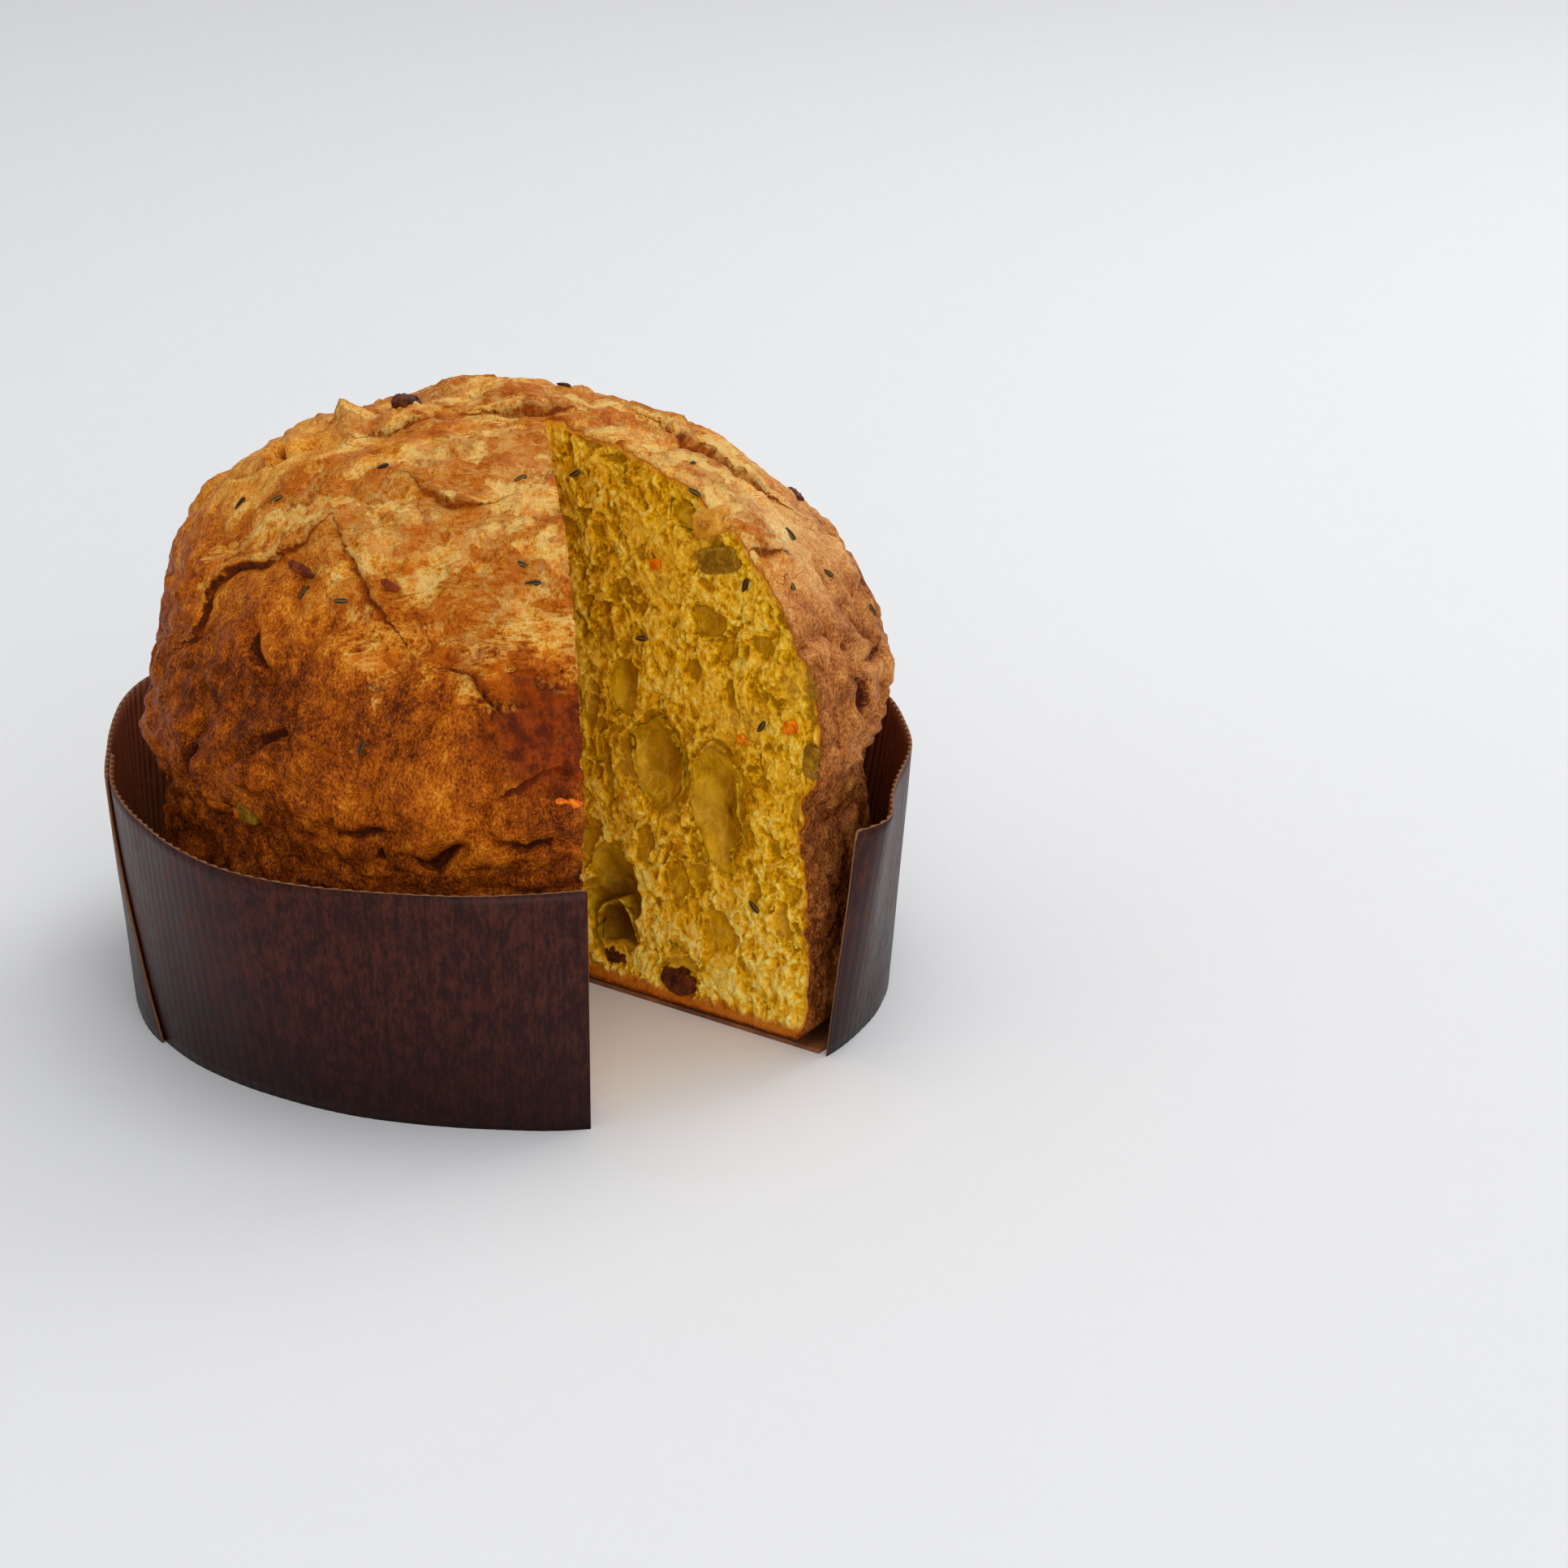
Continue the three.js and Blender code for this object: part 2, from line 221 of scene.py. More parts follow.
class Finish:  # one material and its nodes
    def __init__(self, name):
        self.material = bpy.data.materials.new(name)
        self.material.use_nodes = True
        self.tree = self.material.node_tree
        self.tree.nodes.clear()

    def node(self, kind, settings=None, inputs=None, out=0):
        made = self.tree.nodes.new(kind)
        for setting, value in (settings or {}).items():
            if setting == "stops":
                ramp = made.color_ramp
                while len(ramp.elements) < len(value):
                    ramp.elements.new(1)
                for element, (place, colour) in zip(ramp.elements, value):
                    element.position = place
                    element.color = (*colour, 1)
            else:
                setattr(made, setting, value)
        for name, value in (inputs or {}).items():
            socket = made.inputs[name]
            if isinstance(value, Wire):
                self.tree.links.new(value.socket, socket)
            else:
                socket.default_value = value
        return Wire(self, made.outputs[out]) if made.outputs else None

    def mask(self, name):
        return self.node("ShaderNodeAttribute", {"attribute_name": name}, out="Fac")

    def place(self, stretch=(1, 1, 1)):
        spot = self.node("ShaderNodeTexCoord", out="Object")
        return self.node("ShaderNodeMapping", inputs={"Vector": spot, "Scale": stretch})

    def grain(self, size, detail=2.0, stretch=(1, 1, 1), rough=0.55):  # size in millimetres
        return self.node("ShaderNodeTexNoise", inputs={
            "Vector": self.place(stretch), "Scale": metre / size, "Detail": detail, "Roughness": rough})

    def smoothStep(self, value, low, high):
        return self.node("ShaderNodeMapRange", {"interpolation_type": "SMOOTHSTEP"}, {
            "Value": value, "From Min": low, "From Max": high})

    def ramp(self, value, stops):  # places and paints
        stops = [(place, tint(*paint)) for place, paint in stops]
        return self.node("ShaderNodeValToRGB", {"stops": stops}, {0: value})

    def mix(self, factor, first, second, how="MIX"):
        return self.node("ShaderNodeMix", {"data_type": "RGBA", "blend_type": how}, {
            "Factor": factor, 6: first, 7: second}, out=2)

    def between(self, share, first, second):  # from one paint to another
        return self.mix(share, full(tint(*first)), full(tint(*second)))

    def over(self, colour, share, paint):  # a share of paint laid over a colour
        return self.mix(share, colour, full(tint(*paint)))

    def bump(self, height, distance, strength=1.0, under=None):  # distance in millimetres
        inputs = {"Height": height, "Distance": distance / metre, "Strength": strength}
        if under is not None:
            inputs["Normal"] = under
        return self.node("ShaderNodeBump", inputs=inputs)

    def shade(self, **inputs):
        return self.node("ShaderNodeBsdfPrincipled", inputs={
            name.replace("_", " "): value for name, value in inputs.items()})

    def close(self, shader):
        self.node("ShaderNodeOutputMaterial", inputs={"Surface": shader})
        return self.material


def tint(red, green, blue):  # a colour as seen on a screen, 0 to 255, to a linear one
    return tuple((c / 255 / 12.92) if c <= 10 else ((c / 255 + 0.055) / 1.055) ** 2.4
                 for c in (red, green, blue))


def full(colour):
    return (*colour, 1.0)


print("loaf: shape")

loafShape = {"voxel": 0.8, "triangles": 192000, "reliefDepth": 7}

# creases of the skin: points, depth, half width
creases = [
    ([(-62, -71, 92), (-53, -77, 97), (-50, -78, 98)], 1.6, 1.6),
    ([(-70, -64, 84), (-61, -72, 90)], 1.2, 1.5),
    ([(-76, -53, 99), (-76, -56, 92), (-80, -52, 83), (-79, -50, 73), (-75, -53, 68), (-71, -58, 61)],
     2.6, 2.4),
    ([(-44, -82, 71), (-41, -84, 74), (-39, -84, 72), (-29, -90, 75), (-22, -91, 74)], 1.8, 1.5),
    ([(-41, -85, 80), (-40, -84, 73)], 1.2, 1.3),
    ([(-24, -89, 70), (-15, -92, 67), (-11, -94, 70), (-4, -96, 76)], 2.2, 1.8),
    ([(-4, -96, 77), (3, -97, 75), (9, -96, 74), (16, -96, 76), (23, -95, 74)], 2.0, 1.5),
    ([(4, -99, 87), (6, -98, 76)], 1.3, 1.4),
    ([(3, -99, 88), (-4, -97, 79)], 1.0, 1.6),
    ([(-62, -55, 119), (-60, -61, 113), (-57, -67, 108)], 1.7, 1.8),
    ([(-51, -74, 107), (-49, -79, 97)], 1.0, 1.6),
    ([(-30, -92, 72), (-28, -91, 65)], 1.6, 1.8),
    ([(92, -32, 103), (91, -38, 97), (93, -37, 90), (93, -38, 82), (94, -34, 76)], 2.0, 1.6),
    ([(89, -43, 100), (92, -40, 94), (93, -40, 82)], 1.7, 1.4),
    ([(97, -13, 98), (95, -22, 99), (93, -30, 98)], 1.5, 1.6),
    ([(88, -49, 93), (88, -49, 80)], 1.5, 1.4),
    ([(97, -8, 96), (98, -14, 84), (96, -20, 72)], 1.8, 1.8),
    ([(82, 3, 124), (86, -2, 118)], 1.4, 1.5),
    ([(-57, 6, 148), (-59, -4, 145)], 2.0, 1.6),
    ([(-81, -26, 114), (-79, -20, 121), (-75, -14, 129)], 2.6, 1.8),
    ([(-4, -72, 133), (-2, -65, 140), (3, -58, 145)], 1.1, 1.8),
]

# torn edges of the skin: points, height of the lip, how fast it sinks back, undercut depth
lips = [
    ([(-86, -32, 103), (-78, -40, 110), (-76, -35, 117), (-72, -34, 122), (-67, -35, 127), (-60, -42, 129),
      (-54, -45, 133), (-46, -44, 139), (-41, -42, 142)], -1.5, 7, 1.0),
    ([(-41, -42, 142), (-37, -56, 137), (-33, -64, 132), (-27, -72, 126), (-20, -80, 119)], -0.7, 6, 0.5),
    ([(-22, -35, 151), (-16, -42, 149), (-12, -47, 148), (-6, -48, 148), (0, -46, 149)], -1.5, 6, 1.1),
    ([(-27, -48, 145), (-20, -43, 148)], 1.0, 5, 0.8),
    ([(-14, -85, 117), (-7, -87, 117), (-4, -88, 116), (0, -91, 110), (7, -94, 105)], 0.9, 6, 1.0),
    ([(0, -98, 86), (3, -99, 88), (8, -98, 91), (13, -98, 94), (17, -97, 96), (23, -95, 92)], -1.3, 8, 1.1),
    ([(-40, -22, 150), (-44, -30, 146), (-46, -33, 143), (-53, -28, 141)], -1.4, 7, 1.0),
    ([(-62, -3, 143), (-68, 2, 139), (-76, 7, 133)], -1.3, 7, 1.0),
    ([(-37, -2, 154), (-29, -2, 155), (-17, 2, 156), (-13, 4, 156)], -1.4, 8, 1.2),
    ([(-8, 8, 157), (1, 6, 157), (10, 4, 156), (20, 6, 155)], -1.3, 8, 1.3),
    ([(36, 17, 151), (41, 14, 150), (47, 2, 149), (52, -4, 147), (60, -4, 144), (65, -4, 140),
      (70, -1, 136), (75, 0, 131)], -1.5, 9, 1.6),
    ([(62, -42, 133), (68, -38, 132), (73, -33, 129)], -1.2, 6, 0.4),
    ([(-60, 50, 135), (-48, 58, 138), (-30, 58, 145), (-14, 66, 143)], 1.4, 9, 1.4),
    ([(38, 62, 134), (50, 60, 131), (62, 52, 127), (70, 44, 124)], -1.3, 8, 1.2),
]

# places where the dome's skin tore and its fibres show: centre, radius
tornPlaces = [
    ((0, -44, 149), 40), ((-20, -70, 129), 20), ((-46, -34, 142), 17), ((-72, -24, 126), 13),
    ((8, -82, 122), 18), ((30, 10, 155), 34), ((58, -30, 138), 15), ((-20, 20, 156), 30),
    ((-30, 60, 143), 24), ((44, 56, 134), 20),
]

# knobs and dents of the dome: centre, radius, how far out
knobs = [
    ((-41, 12, 154), 4.5, 4.2), ((-57, 6, 149), 7, 2.2), ((-41, -42, 142), 5, 2.4),
    ((-48, -15, 147), 12, 1.8), ((-12, -56, 144), 11, -1.5), ((72, -33, 129), 5, 2.0),
    ((-84, -22, 118), 9, 1.6), ((-60, -50, 119), 12, 1.4), ((-34, 30, 149), 15, -6.0),
    ((-12, 8, 157), 9, -1.6), ((-8, 40, 156), 18, 1.8), ((18, 40, 152), 16, -1.0),
    ((97, 2, 109), 19, 3.4), ((80, 22, 124), 18, 2.0), ((96, 6, 84), 14, -1.6),
    ((-80, 18, 122), 18, 2.8), ((-86, 8, 108), 18, 1.8), ((-76, -56, 78), 12, 1.8),
    ((-58, -70, 80), 14, 1.6), ((-14, -92, 84), 16, 1.4), ((14, -97, 84), 11, 1.0),
    ((2, -97, 67), 10, 1.0), ((94, -37, 80), 7, 1.8), ((84, -8, 120), 9, 1.2),
    ((60, 20, 145), 18, 1.8), ((96, -16, 92), 9, 1.2), ((-8, -80, 122), 10, -1.2),
    ((20, -62, 137), 12, 0.8),
]


def coreDirection(points):
    away = points - core
    reach = np.linalg.norm(away, axis=1)
    return away / reach[:, None], reach


def makeSkinTable(obj):  # how far the crust lies from the core, each degree of azimuth and elevation
    tree = BVHTree.FromObject(obj, bpy.context.evaluated_depsgraph_get())
    azimuths, elevations = np.arange(360), np.arange(-90, 91)
    rayStart, underside = 250, 68.4
    table = np.full((len(elevations), len(azimuths)), np.nan)
    for row, elevation in enumerate(np.radians(elevations)):
        for column, azimuth in enumerate(np.radians(azimuths)):
            out = Vector((math.cos(elevation) * math.cos(azimuth),
                          math.cos(elevation) * math.sin(azimuth), math.sin(elevation)))
            far = Vector(core / metre) + out * (rayStart / metre)
            place = tree.ray_cast(far, -out)[0]
            if place is not None:
                table[row, column] = rayStart - (place - far).length * metre
    shifted = [np.roll(table, (rows, columns), (0, 1)) for rows in range(-1, 2) for columns in range(-2, 3)]
    table[1:-1] = np.median(shifted, axis=0)[1:-1]
    backHalf = table[:, 20:200].mean(axis=1)
    for row, elevation in enumerate(np.radians(elevations)):
        out = backHalf[row] * math.cos(elevation)
        x = core[0] + out * np.cos(np.radians(azimuths)) - wedge["apex"][0]
        y = core[1] + out * np.sin(np.radians(azimuths)) - wedge["apex"][1]
        turned = np.degrees(np.arctan2(y, x))
        cut = (turned > wedge["left"] - 2) & (turned < wedge["right"] + 2)
        if cut.any() and not cut.all():
            table[row, cut] = np.interp(azimuths[cut], azimuths[~cut], table[row, ~cut], period=360)
        elif cut.all():
            table[row] = underside / max(0.2, abs(math.sin(elevation)))
    return table


def skinReach(direction):  # how far the crust lies from the core in these directions
    table = skinTable
    azimuth = np.degrees(np.arctan2(direction[:, 1], direction[:, 0])) % 360
    elevation = np.degrees(np.arcsin(np.clip(direction[:, 2], -1, 1))) + 90
    left, low = np.floor(azimuth).astype(int) % 360, np.minimum(np.floor(elevation).astype(int), 179)
    across, up = azimuth - np.floor(azimuth), elevation - low
    right = (left + 1) % 360
    return ((table[low, left] * (1 - across) + table[low, right] * across) * (1 - up)
            + (table[low + 1, left] * (1 - across) + table[low + 1, right] * across) * up)


def warp(points, size, amount, seed):  # the same points pushed about, so that edges run raggedly
    return points + amount * noises(points, size, range(seed, seed + 3))


def underSkin(points):  # directions from the core, places on the skin, depths below it
    direction, reach = coreDirection(points)
    skinAway = skinReach(direction)
    return direction, core + direction * skinAway[:, None], skinAway - reach


def onSkin(marks):  # the same places moved in or out to lie on the skin
    return underSkin(np.atleast_2d(np.array(marks, float)))[1]


def tornField(skin):
    total = sum(blob(skin, onSkin(centre)[0], radius) for centre, radius in tornPlaces)
    return total + 0.35 * noise(skin, 12, 21) + 0.2 * noise(skin, 5, 22)


def flakeField(skin):  # above 0 where a flake of skin is left on the torn dome
    warped = warp(skin, 6, 1.6, 23)
    flakes = noise(warped, (15, 10, 10), 26) + 0.5 * noise(warped, (6, 4, 4), 27)
    return flakes + 0.3 * noise(warped, 2.2, 28) + 0.02


crustRelief = {  # how far each kind of relief stands in or out, in millimetres
    "swells": 1.2, "lumps": 0.8, "sunk": 1.1, "lobes": 2.8, "folds": 2.1, "rightPleats": 3.2,
    "leftPleats": 1.9, "fibres": 0.6, "tears": 0.7, "flakes": 0.9, "dimples": 0.7, "smallDimples": 0.45,
    "grain": 0.2, "upGrain": 0.12, "pebbles": 0.7, "creases": 1.75, "lips": 1.5, "undercuts": 1.7,
}


def crustLift(skin):  # how far the baked skin stands out of the plain dome, in millimetres
    relief = crustRelief
    torn = smooth(tornField(skin), 0.35, 0.7)
    height = skin[:, 2]
    azimuth = np.arctan2(skin[:, 1], skin[:, 0])
    lift = relief["swells"] * noise(skin, 30, 1) + relief["lumps"] * noise(skin, 14, 2) - relief["sunk"]
    warped = warp(skin, 9, 3, 3)
    puffy = np.abs(noise(warp(skin, 20, 5, 13), (24, 24, 17), 16))
    # soft lobes with seams between them
    lift += relief["lobes"] * (np.minimum(puffy * 2.4, 0.6) - 0.2) * smooth(height, 64, 80)
    ridged = 1 - np.abs(noise(warped, (14, 14, 6), 6)) * 2.2
    low = smooth(height, 96, 72) * smooth(height, 40, 60)
    lift -= relief["folds"] * low * np.clip(ridged - 0.3, 0, 1)  # flat folds where the skin meets the paper
    pleats = np.stack([azimuth * 23, height / 10, azimuth * 0], axis=1) + 0.16 * (warped - skin)
    meridional = 1 - np.abs(noise(pleats, 2.1, 7)) * 2.6
    right = smooth(skin[:, 0], 66, 86) * smooth(height, 128, 108)
    left = smooth(-skin[:, 0], 30, 62) * smooth(height, 124, 104) * smooth(skin[:, 1], 30, -10)
    pleated = relief["rightPleats"] * right + relief["leftPleats"] * left
    lift -= pleated * np.clip(meridional - 0.25, 0, 1)
    fibres = noise(warped, (7, 1.9, 1.9), 8) + 0.6 * noise(warped, (4, 1.3, 1.3), 9)
    tears = np.abs(noise(warped, (9, 4, 4), 10))
    lift += torn * (relief["fibres"] * fibres - relief["tears"] * tears)
    lift += torn * relief["flakes"] * smooth(flakeField(skin), -0.03, 0.05)
    dimples = relief["dimples"] * noise(warped, (9, 9, 6), 24)
    dimples = dimples + relief["smallDimples"] * noise(warped, (5, 5, 3.5), 25)
    lift += (1 - 0.6 * right) * dimples
    grain = relief["grain"] * noise(skin, 2.6, 11) + relief["upGrain"] * noise(skin, (1.7, 1.7, 3), 12)
    lift += (1 - torn) * grain
    pebbles = (0.5 - np.abs(noise(warped, (8, 8, 5.5), 14)) * 2.5).clip(-0.6, 0.2)
    lift += (1 - torn) * (1 - 0.6 * right) * relief["pebbles"] * pebbles
    pushed = warp(skin, 7, 1.6, 17)
    for centre, radius, rise in knobs:
        lift += rise * blob(pushed, onSkin(centre)[0], radius)
    lift *= smooth(height, 4, 12) * 0.9 + 0.1
    ragged = skin + 0.3 * (warped - skin)
    ragged = ragged + 0.9 * noises(skin, 4.6, range(18, 21))
    for line, depth, width in creases:
        gap, side, fade = alongLine(ragged, onSkin(line), 14)
        valley = np.exp(-(gap / width) ** 2) - 0.5 * np.exp(-((gap - 2.4 * width) / (1.8 * width)) ** 2)
        lift -= relief["creases"] * fade * depth * valley
    for line, rise, decay, under in lips:
        gap, side, fade = alongLine(ragged, onSkin(line), 26)
        gap = np.minimum(gap, 60)
        above = smooth(side * np.sign(rise) * gap, -0.7, 0.9)
        lift += relief["lips"] * fade * abs(rise) * np.exp(-gap / decay) * above
        lift -= relief["undercuts"] * fade * under * np.exp(-gap / 2.4) * (1 - above)
    return lift


def lineGaps(skin):  # widths from the nearest crease, and millimetres from a torn lip, minus on its low side
    ragged = warp(warp(skin, 9, 0.9, 3), 4.6, 0.9, 18)
    groove, edge = np.full(len(skin), 6.0), np.full(len(skin), 9.0)
    for line, depth, width in creases:
        gap, side, fade = alongLine(ragged, onSkin(line), 10)
        groove = np.minimum(groove, gap / width + 3 * (1 - fade * min(1, depth / 1.6)))
    for line, rise, *_ in lips:
        gap, side, fade = alongLine(ragged, onSkin(line), 10)
        signed = np.where(side * np.sign(rise) > 0, 1, -1) * (np.minimum(gap, 9) + 4 * (1 - fade))
        edge = np.where(np.abs(signed) < np.abs(edge), signed, edge)
    return groove, np.clip(edge, -9, 9)


def cutFrame(direction, turn):  # directions along a cut face and out of it
    angle = math.radians(direction)
    along = np.array([math.cos(angle), math.sin(angle), 0.0])
    return along, turn * np.array([-math.sin(angle), math.cos(angle), 0.0])


cuts = {
    "right": cutFrame(wedge["right"], -1),
    "left": cutFrame(wedge["left"], 1),
}
apex = np.array([*wedge["apex"], 0.0])

# air holes of middling size beside the big ones: along the cut, height, half width, half height, depth
airHoles = {
    "right": [
        (37, 68, 12.5, 15, 3.0), (59, 61, 11.5, 20, 2.6), (21, 25, 8.5, 17, 6.5),
        (79.3, 117.6, 2.4, 3.2, 3.0), (82.2, 65.9, 1.9, 4.6, 3.4), (76.4, 92.3, 2.2, 3.0, 2.6),
        (14, 152.6, 6.5, 1.5, 2.2), (24, 149.6, 6.0, 1.8, 2.6), (32, 43, 3.6, 8.5, 3.0),
        (43, 36, 5.5, 6.5, 2.6), (57, 26, 6.0, 7.5, 2.8), (37, 29, 3.0, 3.0, 2.4),
        (68, 40, 3.2, 9, 2.2), (62, 92, 3.4, 6, 2.2), (49, 96, 4.0, 4, 2.0),
        (70, 72, 3.2, 5.6, 2.2), (20, 60, 3.4, 12, 2.4), (13, 100, 3.0, 5, 2.2),
        (30, 112, 3.4, 3.2, 1.8), (66, 18, 3.4, 5, 2.2), (80, 34, 3.2, 6, 2.2),
        (46, 12, 4.6, 3.4, 2.4), (8, 128, 3, 4, 2.2), (56, 120, 3.6, 2.6, 2.0),
        (22, 131, 3.2, 2.4, 1.8), (86, 96, 2.2, 4.4, 2.2), (45, 136.3, 2.5, 3.4, 3.2),
        (12, 40, 4.2, 7, 2.6), (74, 54, 3, 5, 2.2), (15, 76, 3, 6, 2.2),
    ],
    "left": [
        (20, 120, 4, 4, 2.2), (46, 118, 5, 4, 2.6), (50, 84, 4, 7, 2.4),
        (40, 20, 6, 6, 2.6), (84, 84, 3, 6, 2.4), (62, 96, 4, 5, 2.2),
        (44, 44, 5, 8, 2.4), (16, 70, 4, 8, 2.2), (82, 52, 4, 7, 2.4),
        (58, 22, 5, 5, 2.4), (22, 48, 4, 6, 2.2), (30, 140, 5, 3, 2.4),
    ],
}


def cutPlace(points, along, outward):  # how far along a cut face, and how deep behind it
    away = points - apex
    return away @ along, -(away @ outward)


def bubbles(flat, size, seed, least):  # round cells of mixed width: depth 0 to 1
    near, pick = cells(flat, size, seed)
    width = least + (0.72 - least) * pick ** 1.5
    return np.sqrt(np.clip(1 - (near / width) ** 2, 0, 1)) * (0.35 + 0.65 * pick)


crumbCells = {  # width and height of the bubbles, depth, least width as a share
    "large": ((4.8, 8.0), 2.0, 0.12), "middling": ((2.5, 4.2), 1.3, 0.2), "small": ((1.4, 2.3), 0.7, 0.25),
}


def pitDepth(face, flat, points):  # how deep the crumb lies under the cut, flat holds along and height
    bent = flat + 3.2 * noises(points, 8, (31, 32)) + 0.9 * noises(points, 1.9, (33, 34))
    openness = np.clip(0.55 + 1.1 * noise(points, 19, 35), 0.12, 1)
    size, deep, least = crumbCells["large"]
    depth = deep * openness * bubbles(bent, size, 41, least)
    size, deep, least = crumbCells["middling"]
    depth = np.maximum(depth, deep * (0.4 + 0.6 * openness) * bubbles(bent + 50, size, 42, least))
    size, deep, least = crumbCells["small"]
    depth = np.maximum(depth, deep * bubbles(bent + 90, size, 43, least))
    shreds = np.abs(noise(points + 0.6 * noise(points, 2.4, 45)[:, None], (1.5, 1.5, 2.2), 44))
    depth = 1.2 * depth + 0.45 * np.minimum(shreds * 1.8, 0.7) + 0.5 * noise(points, 11, 46)
    for along, height, wide, tall, deep in airHoles[face]:
        gap = np.hypot((bent[:, 0] - along) / wide, (bent[:, 1] - height) / tall)
        bowl = deep * np.sqrt(np.clip(1 - gap ** 2, 0, 1))
        depth = np.where(gap < 1, np.maximum(bowl + 0.12 * depth, 0.3 * depth), depth)
    return np.maximum(depth, 0)


def cutBeside(middle):  # the outward direction of the cut face that a piece lies in, or None
    inLoaf = underSkin(middle[None])[2][0] > -1.5
    for along, outward in cuts.values():
        at, under = cutPlace(middle, along, outward)
        if inLoaf and abs(under) < 7 and at > 2:
            return outward
    return None


def fillPockets(loaf):  # dough behind each small piece, so that no gap shows round it
    fillers = []
    for node in sorted(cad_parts):
        if node in ("loaf", "paper_wall", "paper_base"):
            continue
        filler = copyOfNode(node, node + "_bed")
        points = getPoints(filler)
        middle = (points.max(0) + points.min(0)) / 2
        small = node.startswith("seed")
        inwards = (core - middle) / np.linalg.norm(core - middle)
        grow, sink = (1.42, 0.75) if small else (1.14, 1.2)
        bed = middle + (points - middle) * grow
        outward = cutBeside(middle)
        if outward is None:
            bed += inwards * sink
        else:
            bed -= np.outer(np.clip((bed - apex) @ outward + 0.9, 0, None), outward)
        setPoints(filler, bed)
        fillers.append(filler)
    selectOnly(loaf, *fillers)
    bpy.ops.object.join()


loaf = copyOfNode("loaf", "loaf_bread")
skinTable = makeSkinTable(loaf)
fillPockets(loaf)
applyModifier(loaf, "REMESH", mode="VOXEL", voxel_size=loafShape["voxel"] / metre, adaptivity=0)
points = getPoints(loaf)
direction, skin, depth = underSkin(points)
lift = crustLift(skin) * np.exp(-(np.clip(depth, 0, None) / loafShape["reliefDepth"]) ** 2)
lift *= smooth(points[:, 2], 2.2, 9)  # the underside stays flat
push = direction * lift[:, None]
for along, outward in cuts.values():
    at, under = cutPlace(points, along, outward)
    onFace = (np.abs(under) < 1.2) & (at > -1)
    push[onFace] -= np.outer(push[onFace] @ outward, outward)
setPoints(loaf, points + push)

print("loaf: crumb")
mesh = loaf.data
centres = np.empty(len(mesh.polygons) * 3)
mesh.polygons.foreach_get("center", centres)
centres = centres.reshape(-1, 3) * metre
depth = underSkin(centres)[2]
onFaces = np.zeros(len(centres), bool)
for along, outward in cuts.values():
    at, under = cutPlace(centres, along, outward)
    onFaces |= (under < 9) & (under > -0.6) & (at > -1) & (depth > 1.5)
mesh.polygons.foreach_set("select", np.zeros(len(centres), bool))
mesh.edges.foreach_set("select", np.zeros(len(mesh.edges), bool))
mesh.vertices.foreach_set("select", np.zeros(len(mesh.vertices), bool))
mesh.polygons.foreach_set("select", onFaces)
selectOnly(loaf)
bpy.ops.object.mode_set(mode="EDIT")
bpy.ops.mesh.select_mode(type="FACE")
bpy.ops.mesh.subdivide(number_cuts=1)
objectMode()

points = getPoints(loaf)
direction, skin, depth = underSkin(points)
push = np.zeros_like(points)
for side, (along, outward) in cuts.items():
    at, under = cutPlace(points, along, outward)
    chosen = np.flatnonzero((np.abs(under) < 0.7) & (at > -1) & (depth > 0.6))
    flat = np.stack([at[chosen], points[chosen, 2]], axis=1)
    pit = pitDepth(side, flat, points[chosen])
    pit *= smooth(depth[chosen], 0.8, 3.5) * smooth(points[chosen, 2], 2.5, 6)
    push[chosen] -= np.outer(pit, outward)
    border = np.flatnonzero((np.abs(under) < 1.5) & (at > -1))
    jag = 0.5 * noise(points[border], (3.4, 3.4, 2.6), 53) + 0.35 * noise(points[border], 1.3, 54)
    push[border] += np.outer(jag * smooth(points[border, 2], 1, 3), outward)
    near = np.flatnonzero((under > -0.7) & (under < 11) & (at > -1) & (depth > 2))
    flattened = points[near] / (1, 1, 1.3)
    drift = noises(flattened, 9, (47, 48)) + 0.4 * noises(points[near], 3.5, (49, 50))
    share = 3.0 * smooth(depth[near], 2, 9) * smooth(at[near], 0, 8) * smooth(points[near, 2], 3, 12)
    drift *= share[:, None]
    push[near] += drift[:, [0]] * along + drift[:, [1]] * np.array([0, 0, 1.0])
    holed = np.flatnonzero((under >= 0.7) & (under < 9) & (at > -1) & (depth > 2) & (points[:, 2] > 4))
    lumps = 0.9 * noise(points[holed], 7, 51) + 0.35 * noise(points[holed], 3, 52)
    push[holed] += direction[holed] * lumps[:, None]
setPoints(loaf, points + push)

editMode(loaf)
bpy.ops.mesh.quads_convert_to_tris()
objectMode()
triangles = len(loaf.data.polygons)
print("loaf:", triangles, "triangles before decimation")
applyModifier(loaf, "DECIMATE", ratio=min(1, loafShape["triangles"] / triangles),
              use_collapse_triangulate=True)
print("loaf:", len(loaf.data.polygons), "triangles")

print("loaf: masks")
# colour patches of the crust: centre, radius, how much paler or darker
tonePatches = [
    ((-5, -50, 148), 34, 0.10), ((-60, -66, 105), 42, -0.12), ((16, -95, 104), 19, -0.34),
    ((-10, -82, 124), 16, -0.02), ((95, -15, 85), 34, 0.10), ((60, -20, 141), 22, 0.22),
    ((-80, -30, 100), 26, -0.04), ((0, -97, 84), 12, 0.06), ((-40, -86, 90), 22, 0.0),
]
glossPlace = ((17, -95, 104), 15)
hollowPlace = {"along": 21, "height": 20, "wide": 9, "tall": 15}  # the hollow low in the right cut, painted dark as shade
points = getPoints(loaf)
direction, skin, depth = underSkin(points)
depth += crustLift(skin)
groove, edge = lineGaps(skin)
height = skin[:, 2]
# tone: paler up the dome; the drop low down, near the paper, is painted shade
tone = 0.38 + 0.36 * smooth(height, 100, 145) - 0.10 * smooth(height, 84, 58)
for centre, radius, change in tonePatches:
    tone += change * blob(skin, centre, radius)
